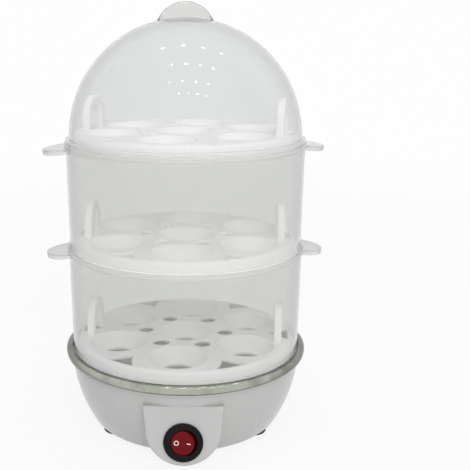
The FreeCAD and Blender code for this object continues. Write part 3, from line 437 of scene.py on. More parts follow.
def circle_through(first: Pair, middle: Pair, last: Pair) -> tuple[Vector, float]:
    """Find the circle through three points.

    Args:
        first: Start of the arc.
        middle: A point on the arc.
        last: End of the arc.

    Returns:
        The centre and the signed angle from the first point to the last.
    """
    (ax, ay), (bx, by), (cx, cy) = first, middle, last
    scale = 2.0 * (ax * (by - cy) + bx * (cy - ay) + cx * (ay - by))
    a2, b2, c2 = ax * ax + ay * ay, bx * bx + by * by, cx * cx + cy * cy
    ox = (a2 * (by - cy) + b2 * (cy - ay) + c2 * (ay - by)) / scale
    oy = (a2 * (cx - bx) + b2 * (ax - cx) + c2 * (bx - ax)) / scale
    start = math.atan2(ay - oy, ax - ox)
    half = (math.atan2(by - oy, bx - ox) - start + math.pi) % math.tau - math.pi
    whole = (math.atan2(cy - oy, cx - ox) - start) % math.tau
    if half < 0.0:
        whole -= math.tau
    return Vector((ox, oy)), whole


class Outline:
    """Outline in the XZ plane, in millimetres, that a spin turns into a solid."""

    def __init__(self, radius: float, height: float) -> None:
        """Start the outline at a radius and a height."""
        self.mesh = bmesh.new()
        self.first = self.mesh.verts.new((radius, 0.0, height))
        self.last = self.first
        self.rounds: list[tuple[bmesh.types.BMVert, float]] = []

    def line(self, radius: float, height: float, rounding: float = 0.0) -> "Outline":
        """Go straight to a corner.

        Args:
            radius: Distance from the axis.
            height: Height of the corner.
            rounding: Radius that the corner is rounded to.

        Returns:
            The outline itself.
        """
        corner = self.mesh.verts.new((radius, 0.0, height))
        self.mesh.edges.new((self.last, corner))
        self.last = corner
        if rounding > 0.0:
            self.rounds.append((corner, rounding))
        return self

    def arc(self, middle: Pair, end: Pair, steps: int = 24) -> "Outline":
        """Go round an arc through a middle point.

        Args:
            middle: Point on the arc.
            end: End of the arc.
            steps: Number of straight pieces.

        Returns:
            The outline itself.
        """
        centre, angle = circle_through((self.last.co.x, self.last.co.z), middle, end)
        result = bmesh.ops.spin(
            self.mesh,
            geom=[self.last],
            cent=(centre.x, 0.0, centre.y),
            axis=(0.0, -1.0, 0.0),
            dvec=(0.0, 0.0, 0.0),
            angle=angle,
            steps=steps,
            use_merge=False,
            use_duplicate=False,
        )
        self.last = [item for item in result["geom_last"] if isinstance(item, bmesh.types.BMVert)][0]
        return self

    def spin(self, steps: int = SPIN_STEPS) -> Mesh:
        """Close the outline, round its corners and spin it about the vertical axis.

        Args:
            steps: Number of steps round the full turn.

        Returns:
            The closed solid.
        """
        mesh = self.mesh
        if max(self.first.co.x, self.last.co.x) > 0.001:
            mesh.edges.new((self.last, self.first))
        for corner, rounding in self.rounds:
            bmesh.ops.bevel(
                mesh,
                geom=[corner],
                offset=rounding,
                offset_type="OFFSET",
                segments=6,
                profile=0.5,
                affect="VERTICES",
                material=-1,
            )
        bmesh.ops.spin(
            mesh,
            geom=mesh.verts[:] + mesh.edges[:],
            cent=(0.0, 0.0, 0.0),
            axis=(0.0, 0.0, 1.0),
            dvec=(0.0, 0.0, 0.0),
            angle=math.tau,
            steps=steps,
            use_merge=True,
            use_duplicate=False,
        )
        bmesh.ops.remove_doubles(mesh, verts=mesh.verts, dist=MERGE_MM)
        bmesh.ops.recalc_face_normals(mesh, faces=mesh.faces)
        return mesh


def moved(mesh: Mesh, *matrices: Matrix) -> Mesh:
    """Apply matrices in turn to a mesh.

    Args:
        mesh: Mesh to move.
        matrices: Transforms, the first one applied first.

    Returns:
        The same mesh.
    """
    for matrix in matrices:
        bmesh.ops.transform(mesh, matrix=matrix, verts=mesh.verts)
    return mesh


def turn(degrees: float, axis: str = "Z") -> Matrix:
    """Rotation about an axis through the origin."""
    return Matrix.Rotation(math.radians(degrees), 4, axis)


def shift(x: float, y: float, z: float) -> Matrix:
    """Move by a distance along each axis."""
    return Matrix.Translation((x, y, z))


def merged(meshes: Iterable[Mesh]) -> Mesh:
    """Put several meshes in one and free them.

    Args:
        meshes: Meshes to put together.

    Returns:
        One mesh that holds all of them.
    """
    whole = bmesh.new()
    for mesh in meshes:
        data = bpy.data.meshes.new("part")
        mesh.to_mesh(data)
        mesh.free()
        whole.from_mesh(data)
        bpy.data.meshes.remove(data)
    return whole


def copied(mesh: Mesh, matrices: Iterable[Matrix]) -> Mesh:
    """Repeat a mesh at several places in one new mesh, and free it."""
    copies = [moved(mesh.copy(), matrix) for matrix in matrices]
    mesh.free()
    return merged(copies)


def combined(mesh: Mesh, tool: Mesh, how: Combine) -> Mesh:
    """Join a closed mesh with another, or take the other away from it.

    Args:
        mesh: Closed mesh to work on.
        tool: Closed mesh to add or take.
        how: Whether the tool is added or taken.

    Returns:
        The result as a new mesh.
    """
    holders = []
    for source in (mesh, tool):
        data = bpy.data.meshes.new("work")
        source.to_mesh(data)
        source.free()
        holder = bpy.data.objects.new("work", data)
        bpy.context.scene.collection.objects.link(holder)
        holders.append(holder)
    cut = holders[0].modifiers.new("combine", "BOOLEAN")
    cut.operation = how.value
    cut.solver = "EXACT"
    cut.object = holders[1]
    bpy.context.view_layer.update()
    evaluated = holders[0].evaluated_get(bpy.context.evaluated_depsgraph_get())
    data = bpy.data.meshes.new_from_object(evaluated)
    result = bmesh.new()
    result.from_mesh(data)
    bpy.data.meshes.remove(data)
    for holder in holders:
        data = holder.data
        bpy.data.objects.remove(holder)
        bpy.data.meshes.remove(data)
    bmesh.ops.remove_doubles(result, verts=result.verts, dist=MERGE_MM)
    bmesh.ops.dissolve_degenerate(result, dist=MERGE_MM, edges=result.edges)
    return result


def bevelled(
    mesh: Mesh,
    width: float,
    segments: int,
    wanted: Callable[[bmesh.types.BMEdge], bool],
) -> Mesh:
    """Round the wanted edges of a mesh.

    Args:
        mesh: Mesh to work on.
        width: Size of the rounding in millimetres.
        segments: Number of faces across it.
        wanted: Test that picks an edge.

    Returns:
        The same mesh.
    """
    bmesh.ops.bevel(
        mesh,
        geom=[edge for edge in mesh.edges if wanted(edge)],
        offset=width,
        offset_type="OFFSET",
        segments=segments,
        profile=0.5,
        affect="EDGES",
        clamp_overlap=True,
        material=-1,
    )
    return mesh


def is_sharp(edge: bmesh.types.BMEdge) -> bool:
    """Tell whether two faces meet sharply along an edge."""
    return len(edge.link_faces) == 2 and edge.calc_face_angle(0.0) > math.radians(SHARP_DEGREES)


def rise(edge: bmesh.types.BMEdge) -> float:
    """Difference in height between an edge's ends."""
    return abs(edge.verts[0].co.z - edge.verts[1].co.z)


def box(x: float, y: float, z: float) -> Mesh:
    """Box of three sizes about the origin."""
    mesh = bmesh.new()
    bmesh.ops.create_cube(mesh, size=1.0)
    bmesh.ops.scale(mesh, vec=(x, y, z), verts=mesh.verts)
    return mesh


def cut_below(mesh: Mesh, height: float) -> None:
    """Take away what lies below a height and close the cut.

    Args:
        mesh: Closed mesh to cut.
        height: Height of the cut.
    """
    cut = bmesh.ops.bisect_plane(
        mesh,
        geom=mesh.verts[:] + mesh.edges[:] + mesh.faces[:],
        plane_co=(0.0, 0.0, height),
        plane_no=(0.0, 0.0, -1.0),
        clear_outer=True,
    )
    rim = [item for item in cut["geom_cut"] if isinstance(item, bmesh.types.BMEdge)]
    bmesh.ops.edgeloop_fill(mesh, edges=rim)
    bmesh.ops.remove_doubles(mesh, verts=mesh.verts, dist=CUT_MERGE_MM)


def prism(corners: list[Triple], depth: Vector) -> Mesh:
    """Extrude a flat shape.

    Args:
        corners: Corners of the shape in order.
        depth: Way and length of the extrusion.

    Returns:
        The closed prism.
    """
    mesh = bmesh.new()
    face = mesh.faces.new([mesh.verts.new(corner) for corner in corners])
    result = bmesh.ops.extrude_face_region(mesh, geom=[face], use_keep_orig=True)
    lifted = [item for item in result["geom"] if isinstance(item, bmesh.types.BMVert)]
    bmesh.ops.translate(mesh, vec=depth, verts=lifted)
    bmesh.ops.recalc_face_normals(mesh, faces=mesh.faces)
    return mesh


def rod(radius: float, length: float, matrix: Matrix, segments: int = 96) -> Mesh:
    """Round bar whose foot lies at the origin of a matrix and that runs along its Z.

    Args:
        radius: Radius of the bar.
        length: Length of the bar.
        matrix: Place and direction of the bar.
        segments: Number of sides.

    Returns:
        The closed bar.
    """
    mesh = bmesh.new()
    bmesh.ops.create_cone(
        mesh,
        cap_ends=True,
        segments=segments,
        radius1=radius,
        radius2=radius,
        depth=length,
        matrix=matrix @ shift(0.0, 0.0, length / 2.0),
    )
    return mesh


@dataclass(frozen=True)
class Placing:
    """Where a finished piece belongs."""

    name: str
    body: str
    slot: str
    replaced: tuple[str, ...] = ()


def place_piece(mesh: Mesh, material: bpy.types.Material, placing: Placing) -> bpy.types.Object:
    """Turn a mesh in millimetres into a finished piece that rides on its body.

    Args:
        mesh: Mesh to finish, freed afterwards.
        material: Finish of the piece.
        placing: Name, body and slot, and the nodes that the piece stands for.

    Returns:
        The new object.
    """
    bmesh.ops.scale(mesh, vec=(MM, MM, MM), verts=mesh.verts)
    data = bpy.data.meshes.new(placing.name)
    mesh.to_mesh(data)
    mesh.free()
    data.materials.append(material)
    data.shade_smooth()
    data.set_sharp_from_angle(angle=math.radians(SMOOTH_DEGREES))
    piece = bpy.data.objects.new(placing.name, data)
    bpy.context.scene.collection.objects.link(piece)
    weight = piece.modifiers.new("even_shading", "WEIGHTED_NORMAL")
    weight.keep_sharp = True
    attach(piece, placing.body)
    if placing.replaced:
        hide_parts(*placing.replaced)
    LOG.info("made %s with %d faces", placing.name, len(data.polygons))
    return piece


def thicken_look(piece: bpy.types.Object, material: bpy.types.Material, levels: Pair) -> None:
    """Give the faces between two heights the finish of thick plastic.

    Args:
        piece: Finished piece.
        material: Finish of its thick parts.
        levels: Lowest and highest middle of such a face, in millimetres.
    """
    piece.data.materials.append(material)
    low, high = (level * MM for level in levels)
    for face in piece.data.polygons:
        if low < face.center.z < high:
            face.material_index = 1


def spot(radius: float, degrees: float, height: float = 0.0) -> Vector:
    """Point at a radius, a turn from the front and a height."""
    angle = math.radians(degrees)
    return Vector((radius * math.sin(angle), -radius * math.cos(angle), height))


@dataclass
class Base:
    """Bowl with its switch panel, the bright ring round it and the lead inlet."""

    foot: float = 2.0
    foot_radius: float = 57.0
    foot_round: float = 0.6
    side: tuple[Pair, ...] = ((60.0, 4.44), (68.9, 24.2), (72.7, 45.0))
    shoulder_radius: float = 74.6
    shoulder_round: float = 0.4
    top: float = 46.4
    seat_radius: float = 72.3
    seat_wall: float = 2.1
    seat_top: float = 50.8
    pan_opening: float = 64.0
    pan_floor: float = 1.6
    wall: float = 2.2
    ring_inner: float = 72.4
    ring_radius: float = 76.6
    ring_top: float = 52.1
    ring_round: float = 2.4
    cover_bosses: tuple[float, ...] = (-150.0, -30.0, 30.0, 150.0)
    cover_boss_circle: float = 46.0
    cover_boss_web: Triple = (2.0, 12.6, 9.0)
    pan_bosses: tuple[float, ...] = (60.0, 180.0, 300.0)
    pan_boss_circle: float = 67.2
    inlet_height: float = 14.0
    inlet_start: float = 46.0
    inlet_boss: float = 8.5
    inlet_hole: float = 5.0
    switch_hole: float = 10.0
    panel_half: float = 22.0
    panel_top_half: float = 23.4
    panel_round_centre: float = 7.5
    panel_top: float = 21.3
    panel_depth: float = 24.0
    panel_wall: float = 2.4
    panel_round: float = 1.3
    panel: Matrix = Matrix.Translation((0.0, -75.0, 17.6)) @ Matrix.Rotation(math.radians(83.0), 4, "X")

    def up_the_side(self, outline: Outline, inset: float, steps: int) -> Outline:
        """Carry an outline up the bowl's curved side.

        Args:
            outline: Outline that has reached the bowl's foot.
            inset: How far the side is drawn in.
            steps: Number of straight pieces of its curve.

        Returns:
            The outline itself.
        """
        low, middle, high = ((radius - inset, height) for radius, height in self.side)
        return outline.line(*low).arc(middle, high, steps)

    def bowl_outside(self) -> Mesh:
        """Solid of the bowl's outer form.

        Returns:
            The closed mesh.
        """
        outline = Outline(0.0, self.foot).line(self.foot_radius, self.foot, self.foot_round)
        return (
            self.up_the_side(outline, 0.0, 40)
            .line(self.shoulder_radius, self.side[-1][1], self.shoulder_round)
            .line(self.shoulder_radius, self.top, self.shoulder_round)
            .line(self.seat_radius, self.top)
            .line(self.seat_radius, self.seat_top, self.shoulder_round)
            .line(0.0, self.seat_top)
            .spin()
        )

    def bowl_inside(self) -> Mesh:
        """Solid of the space inside the bowl.

        Returns:
            The closed mesh.
        """
        beyond = 1.0
        start = self.foot_radius - self.wall
        floor = self.top + self.pan_floor
        seat = self.seat_radius - self.seat_wall
        outline = Outline(0.0, self.foot - beyond).line(start, self.foot - beyond).line(start, self.foot)
        return (
            self.up_the_side(outline, self.wall, 32)
            .line(self.side[-1][0] - self.wall, self.top)
            .line(self.pan_opening, self.top)
            .line(self.pan_opening, floor)
            .line(seat, floor)
            .line(seat, self.seat_top + beyond)
            .line(0.0, self.seat_top + beyond)
            .spin()
        )

    def panel_block(self, inset: float, front: float, rounding: float) -> Mesh:
        """Shield-shaped block of the switch panel.

        Args:
            inset: How far its outline is drawn in.
            front: Level of its front face in the panel's frame.
            rounding: Rounding of its front edges.

        Returns:
            The closed mesh.
        """
        half = self.panel_half - inset
        steps = 48
        corners = []
        for step in range(steps + 1):
            angle = math.pi + math.pi * step / steps
            height = self.panel_round_centre + half * math.sin(angle)
            corners.append((half * math.cos(angle), height, front))
        corners.append((self.panel_top_half - inset, self.panel_top - inset, front))
        corners.append((inset - self.panel_top_half, self.panel_top - inset, front))
        mesh = prism(corners, Vector((0.0, 0.0, -self.panel_depth)))
        if rounding > 0.0:
            bevelled(
                mesh,
                rounding,
                6,
                lambda edge: all(vert.co.z > front - 0.001 for vert in edge.verts),
            )
        return moved(mesh, self.panel)

    def bosses(self) -> Mesh:
        """Screw bosses inside the bowl.

        Returns:
            The closed meshes in one.
        """
        parts = []
        for degrees in self.cover_bosses:
            parts.append(rod(3.6, 10.0, Matrix.Translation(spot(self.cover_boss_circle, degrees, 4.0)), 48))
            parts.append(moved(box(*self.cover_boss_web), shift(0.0, -52.3, 8.5), turn(degrees)))
        for degrees in self.pan_bosses:
            parts.append(rod(3.0, 8.0, Matrix.Translation(spot(self.pan_boss_circle, degrees, 38.6)), 48))
        return merged(parts)

    def build(self, finishes: Finishes) -> None:
        """Make the shell and the ring.

        Args:
            finishes: Finishes of the boiler.
        """
        backward = shift(0.0, self.inlet_start, self.inlet_height) @ turn(-90.0, "X")
        shell = combined(self.bowl_outside(), self.panel_block(0.0, 0.0, self.panel_round), Combine.ADD)
        shell = combined(shell, rod(self.inlet_boss, 23.0, backward), Combine.ADD)
        shell = combined(shell, self.bowl_inside(), Combine.TAKE)
        shell = combined(shell, self.panel_block(self.panel_wall, -self.panel_wall, 0.0), Combine.TAKE)
        # The switch's hole goes through the panel's wall and as far again on both sides.
        behind = self.panel @ shift(0.0, 0.0, -self.panel_wall * 2.0)
        hole = rod(self.switch_hole, self.panel_wall * 3.0, behind)
        shell = combined(shell, merged([hole, rod(self.inlet_hole, 24.0, backward)]), Combine.TAKE)
        shell = merged([shell, self.bosses()])
        placing = Placing("bowl_shell", "base", "white_shell", ("base_shell",))
        place_piece(shell, finishes.by_slot["white_shell"], placing)
        ring = (
            Outline(self.ring_inner, self.top)
            .line(self.ring_radius, self.top, self.ring_round)
            .line(self.ring_radius, self.ring_top, self.ring_round)
            .line(self.ring_inner, self.ring_top, 0.6)
            .spin()
        )
        placing = Placing("bright_ring", "base", "bright_ring", ("trim_ring",))
        place_piece(ring, finishes.by_slot["bright_ring"], placing)


@dataclass
class RockerSwitch:
    """Round rocker switch with its bezel and printed marks."""

    bezel: float = 11.5
    bezel_height: float = 1.9
    barrel: float = 9.9
    depth: float = 17.0
    floor: float = 3.0
    mouth: float = 7.3
    ball: float = 7.1
    pivot: float = 0.2
    ridge: float = 1.2
    tilt: float = 11.0
    skirt: float = 3.0
    edge: float = 0.35
    pin: float = 0.8
    pin_length: float = 16.4
    pin_play: float = 0.06
    mark_height: float = 0.05
    mark_ring: Pair = (1.0, 1.45)
    mark_bar: Pair = (2.4, 0.5)
    mark_place: float = 3.7

    def housing(self) -> Mesh:
        """Bezel and barrel with the open mouth.

        Returns:
            The closed mesh in the panel's frame.
        """
        low = -self.depth
        return (
            Outline(0.0, low)
            .line(self.barrel, low, 0.3)
            .line(self.barrel, 0.0)
            .line(self.bezel, 0.0, 0.15)
            .line(self.bezel, self.bezel_height, 0.9)
            .line(self.mouth + 1.1, self.bezel_height, 0.4)
            .line(self.mouth, self.bezel_height - 0.8, 0.3)
            .line(self.mouth, low + self.floor)
            .line(0.0, low + self.floor)
            .spin(128)
        )

    def rocker(self) -> Mesh:
        """Ball-shaped rocker with two flats that meet in a shallow valley.

        Returns:
            The closed mesh in the panel's frame, at rest.
        """
        mesh = bmesh.new()
        lying = turn(90.0, "X")
        bmesh.ops.create_uvsphere(mesh, u_segments=96, v_segments=64, radius=self.ball, matrix=lying)
        for side in (-1.0, 1.0):
            block = box(self.ball * 2.0, self.ball * 2.0, self.ball * 2.0)
            moved(
                block,
                shift(side * self.ball, 0.0, self.ball),
                turn(-side * self.tilt, "Y"),
                shift(0.0, 0.0, self.ridge),
            )
            mesh = combined(mesh, block, Combine.TAKE)
        cut_below(mesh, -self.skirt)
        bevelled(
            mesh,
            self.edge,
            4,
            lambda edge: is_sharp(edge) and all(vert.co.z > 0.0 for vert in edge.verts),
        )
        pins = rod(self.pin, self.pin_length, shift(0.0, -self.pin_length / 2.0, 0.0) @ turn(-90.0, "X"), 32)
        return moved(merged([mesh, pins]), turn(-self.tilt, "Y"), shift(0.0, 0.0, self.pivot))

    def on_flat(self, mesh: Mesh, side: float) -> Mesh:
        """Lay a mark on one flat of the rocker.

        Args:
            mesh: Mark, flat in the XY plane.
            side: Side of the flat, minus one or one.

        Returns:
            The same mesh in the panel's frame.
        """
        return moved(
            mesh,
            shift(side * self.mark_place, 0.0, 0.0),
            turn(-side * self.tilt, "Y"),
            shift(0.0, 0.0, self.ridge),
            turn(-self.tilt, "Y"),
            shift(0.0, 0.0, self.pivot),
        )

    def marks(self) -> Mesh:
        """Printed ring and bar that name the two positions.

        Returns:
            The closed meshes in the panel's frame.
        """
        inner, outer = self.mark_ring
        ring = (
            Outline(inner, 0.0)
            .line(outer, 0.0)
            .line(outer, self.mark_height)
            .line(inner, self.mark_height)
            .spin(48)
        )
        bar = box(*self.mark_bar, self.mark_height * 2.0)
        bevelled(bar, 0.15, 3, lambda edge: rise(edge) > 0.01)
        return merged([self.on_flat(ring, -1.0), self.on_flat(bar, 1.0)])

    def build(self, finishes: Finishes, panel: Matrix) -> None:
        """Make the switch in its panel.

        Args:
            finishes: Finishes of the boiler.
            panel: Place of the panel's frame.
        """
        # The bearing holes run a little past the pins and end inside the barrel's wall.
        length = self.pin_length + 0.8
        across = shift(0.0, -length / 2.0, self.pivot) @ turn(-90.0, "X")
        housing = combined(self.housing(), rod(self.pin + self.pin_play, length, across, 32), Combine.TAKE)
        black = Placing("switch_housing", "base", "black_bezel", ("switch_body",))
        red = Placing("rocker", "switch_rocker", "red_rocker", ("switch_rocker",))
        place_piece(moved(housing, panel), finishes.by_slot["black_bezel"], black)
        place_piece(moved(self.rocker(), panel), finishes.by_slot["red_rocker"], red)
        printed = Placing("rocker_marks", "switch_rocker", "red_rocker")
        place_piece(moved(self.marks(), panel), finishes.ink, printed)


@dataclass
class EggTray:
    """Egg tray: dishes, steam holes, rim openings and two finger loops."""

    wall: float = 1.5
    radius: float = 68.3
    shoulder: float = 2.6
    skirt: float = 6.0
    draft: float = 0.6
    flange: float = 71.8
    flange_thickness: float = 1.2
    pitch: float = 45.5
    dish: float = 17.6
    dish_depth: float = 8.0
    dish_hole: float = 8.7
    dish_round: float = 0.9
    steam: float = 5.1
    steam_circle: float = 25.6
    rim_outer: float = 66.0
    rim_inner: float = 52.6
    rim_half_turn: float = 8.8
    loop_circle: float = 59.0
    loop_thickness: float = 4.6
    loop_height: float = 20.5
    # Half of the loop's width at foot and crown, and the rounding of its top corners.
    loop_outside: Triple = (16.2, 13.0, 13.0)
    loop_inside: Triple = (9.8, 7.7, 7.0)
    loop_crown: float = 6.6
    loop_round: float = 1.0
    # Half of the turn between the loop's crown and its legs.
    loop_half_bend: float = 40.6
    rim_bend: float = 0.9
    rim_corner: float = 0.9
    between: tuple[float, ...] = (30.0, 90.0, 150.0, 210.0, 270.0, 330.0)

    def ball(self) -> tuple[float, float]:
        """Radius of the ball that forms a dish, and the height of its centre above the plate."""
        rise = (self.dish ** 2 - self.dish_hole ** 2 - self.dish_depth ** 2) / (self.dish_depth * 2.0)
        return math.hypot(self.dish, rise), rise

    def plate(self) -> Mesh:
        """Plate with its shoulder, skirt and flange.

        Returns:
            The closed mesh, with the plate's top at zero.
        """
        foot = -self.skirt - self.flange_thickness
        inner = self.radius - self.wall
        return (
            Outline(0.0, 0.0)
            .line(self.radius, 0.0, self.shoulder)
            .line(self.radius + self.draft, -self.skirt)
            .line(self.flange, -self.skirt, 0.25)
            .line(self.flange, foot, 0.25)
            .line(inner + self.draft, foot)
            .line(inner, -self.wall, self.shoulder - self.wall)
            .line(0.0, -self.wall)
            .spin()
        )

    def dish_wall(self) -> Mesh:
        """Round wall below one dish.

        Returns:
            The closed mesh, from the middle of the plate down.
        """
        ball, rise = self.ball()
        outer = ball + self.wall
        hole = self.dish_hole - self.wall
        top = -self.wall / 2.0
        reach = math.sqrt(outer ** 2 - (rise - top) ** 2)
        middle = (math.asin(hole / outer) + math.asin(reach / outer)) / 2.0
        foot = rise - math.sqrt(outer ** 2 - hole ** 2)
        return (
            Outline(0.0, foot)
            .line(hole, foot)
            .arc((outer * math.sin(middle), rise - outer * math.cos(middle)), (reach, top), 12)
            .line(0.0, top)
            .spin(72)
        )

    def dish_room(self) -> Mesh:
        """Space in one dish and its hole.

        Returns:
            The closed mesh, rounded at the plate's top.
        """
        ball, rise = self.ball()
        edge = self.dish_round
        share = ball / (ball + edge)
        rim = math.sqrt((ball + edge) ** 2 - (rise + edge) ** 2)
        touch = (rim * share, rise - (rise + edge) * share)
        lean = math.atan2(rim, rise + edge)
        fold = (rim - edge * math.sin(lean / 2.0), edge * math.cos(lean / 2.0) - edge)
        middle = (lean + math.asin(self.dish_hole / ball)) / 2.0
        low = -self.dish_depth * 2.0
        return (
            Outline(0.0, low)
            .line(self.dish_hole, low)
            .line(self.dish_hole, -self.dish_depth)
            .arc((ball * math.sin(middle), rise - ball * math.cos(middle)), touch, 14)
            .arc(fold, (rim, 0.0), 6)
            .line(rim, 1.0)
            .line(0.0, 1.0)
            .spin(72)
        )

    def steam_room(self) -> Mesh:
        """Cutter for a steam hole with a soft upper edge.

        Returns:
            The closed mesh.
        """
        soft = 0.5
        return (
            Outline(0.0, -self.dish_depth)
            .line(self.steam, -self.dish_depth)
            .line(self.steam, -soft)
            .arc((self.steam + soft * 0.293, -soft * 0.293), (self.steam + soft, 0.0), 4)
            .line(self.steam + soft, 1.0)
            .line(0.0, 1.0)
            .spin(48)
        )

    def rim_room(self) -> Mesh:
        """Cutter for a three-sided rim opening at the front.

        Returns:
            The closed mesh.
        """
        half = self.rim_half_turn
        left = spot(self.rim_outer, -half)
        right = spot(self.rim_outer, half)
        tip = spot(self.rim_inner, 0.0)
        steps = 8
        turns = [-half + half * 2.0 * step / steps for step in range(steps + 1)]
        corners = [tuple(spot(self.rim_outer, degrees)) for degrees in turns]
        for start, end in ((right, tip), (tip, left)):
            inward = (spot(self.rim_outer - 3.6, 0.0) - (start + end) / 2.0).normalized()
            for step in range(1, steps):
                share = step / steps
                bend = inward * (self.rim_bend * 4.0 * share * (1.0 - share))
                corners.append(tuple(start.lerp(end, share) + bend))
            corners.append(tuple(end))
        corners.pop()
        low = self.dish_depth
        mesh = prism([(x, y, z - low) for x, y, z in corners], Vector((0.0, 0.0, low * 2.0)))
        return bevelled(mesh, self.rim_corner, 4, lambda edge: rise(edge) > low and is_sharp(edge))

    def loop_block(self, shape: Triple, height: float, foot: float) -> Mesh:
        """Upright block with round top corners across the front turn.

        Args:
            shape: Half of its width at foot and crown, and the rounding of its top corners.
            height: Height of the crown.
            foot: Height of the foot.

        Returns:
            The closed mesh.
        """
        foot_half, crown_half, corner = shape
        near = -self.loop_circle - self.loop_thickness / 2.0
        mesh = prism(
            [
                (-foot_half, near, foot),
                (-crown_half, near, height),
                (crown_half, near, height),
                (foot_half, near, foot),
            ],
            Vector((0.0, self.loop_thickness, 0.0)),
        )
        return bevelled(
            mesh,
            corner * math.tan(math.radians(self.loop_half_bend)),
            20,
            lambda edge: all(vert.co.z > height - 0.001 for vert in edge.verts)
            and abs(edge.verts[0].co.y - edge.verts[1].co.y) > 1.0,
        )

    def loop(self) -> Mesh:
        """Finger loop with soft edges.

        Returns:
            The closed mesh at the front turn.
        """
        foot = -self.wall / 2.0
        outer = self.loop_block(self.loop_outside, self.loop_height, foot)
        inner = self.loop_block(self.loop_inside, self.loop_height - self.loop_crown, foot - 1.0)
        # The opening's block is made thicker than the loop, so that it goes right through.
        centred = shift(0.0, self.loop_circle, 0.0)
        bmesh.ops.scale(inner, vec=(1.0, 3.0, 1.0), verts=inner.verts, space=centred)
        return bevelled(
            combined(outer, inner, Combine.TAKE),
            self.loop_round,
            4,
            lambda edge: is_sharp(edge) and any(vert.co.z > 0.0 for vert in edge.verts),
        )

    def solid(self) -> Mesh:
        """Whole tray with its plate's top at zero.

        Returns:
            The closed mesh.
        """
        places = [Matrix.Translation(spot(self.pitch, 60.0 * number)) for number in range(6)]
        places.insert(0, Matrix.Identity(4))
        tray = combined(self.plate(), copied(self.dish_wall(), places), Combine.ADD)
        rooms = [copied(self.dish_room(), places)]
        holes = [Matrix.Translation(spot(self.steam_circle, degrees)) for degrees in self.between]
        rooms.append(copied(self.steam_room(), holes))
        rooms.append(copied(self.rim_room(), [turn(degrees) for degrees in self.between]))
        tray = combined(tray, merged(rooms), Combine.TAKE)
        return combined(tray, copied(self.loop(), [turn(-90.0), turn(90.0)]), Combine.ADD)

    def build(self, finishes: Finishes, levels: dict[str, Pair]) -> None:
        """Make each tray in its place.

        Args:
            finishes: Finishes of the boiler.
            levels: Turn and height of the plate's top by node.
        """
        solid = self.solid()
        for node, (degrees, height) in levels.items():
            mesh = moved(solid.copy(), turn(degrees), shift(0.0, 0.0, height))
            placing = Placing(node + "_dressed", node, "tray_white", (node,))
            place_piece(mesh, finishes.by_slot["tray_white"], placing)
        solid.free()


@dataclass
class StoreyWall:
    """Clear wall of one storey with its rim and two hollow ears."""

    height: float = 64.62
    wall: float = 1.5
    foot_radius: float = 72.1
    top_radius: float = 72.9
    rim_radius: float = 74.0
    rim_height: float = 3.2
    ledge: float = 63.52
    ledge_radius: float = 70.3
    rebate: float = 72.35
    ear_radius: float = 15.0
    ear_circle: float = 72.0
    ear_height: float = 3.2
    ear_skin: float = 1.4
    ear_level: float = 62.02
    droop: float = 6.0

    def tube(self) -> Mesh:
        """Wall with its rim and the ledge for the next tray.

        Returns:
            The closed mesh, with its foot at zero.
        """
        low = self.height - self.rim_height
        return (
            Outline(self.foot_radius - self.wall, 0.0)
            .line(self.foot_radius, 0.0, 0.3)
            .line(self.top_radius, low)
            .line(self.rim_radius, low, 0.9)
            .line(self.rim_radius, self.height, 0.9)
            .line(self.rebate, self.height, 0.2)
            .line(self.rebate, self.ledge)
            .line(self.ledge_radius, self.ledge, 0.2)
            .line(self.ledge_radius, self.ledge - self.wall, 0.3)
            .line(self.top_radius - self.wall, low - self.wall)
            .spin()
        )

    def ear(self) -> Mesh:
        """One ear at the front turn, hollow below.

        Returns:
            The closed mesh.
        """
        mesh = (
            Outline(0.0, 0.0)
            .line(self.ear_radius, 0.0, 0.5)
            .line(self.ear_radius, -self.ear_height, 0.3)
            .line(self.ear_radius - self.ear_skin, -self.ear_height, 0.3)
            .line(self.ear_radius - self.ear_skin, -self.ear_skin, 0.4)
            .line(0.0, -self.ear_skin)
            .spin(96)
        )
        moved(mesh, shift(0.0, self.top_radius - self.ear_circle, 0.0), turn(self.droop, "X"))
        moved(mesh, shift(0.0, -self.top_radius, self.ear_level))
        middle = self.wall / 2.0
        room = (
            Outline(0.0, 0.0)
            .line(self.foot_radius - self.wall + middle, 0.0)
            .line(self.top_radius - self.wall + middle, self.height)
            .line(0.0, self.height)
            .spin()
        )
        return combined(mesh, room, Combine.TAKE)

    def build(self, finishes: Finishes, levels: dict[str, Pair]) -> None:
        """Make each storey wall in its place.

        Args:
            finishes: Finishes of the boiler.
            levels: Turn and foot height by node.
        """
        solid = combined(self.tube(), copied(self.ear(), [turn(-90.0), turn(90.0)]), Combine.ADD)
        for node, (degrees, height) in levels.items():
            mesh = moved(solid.copy(), turn(degrees), shift(0.0, 0.0, height))
            placing = Placing(node + "_dressed", node, "clear_wall", (node,))
            piece = place_piece(mesh, finishes.by_slot["clear_wall"], placing)
            rim = height + self.height
            thicken_look(piece, finishes.thick, (rim - self.rim_height - self.ear_height, rim + self.wall))
        solid.free()


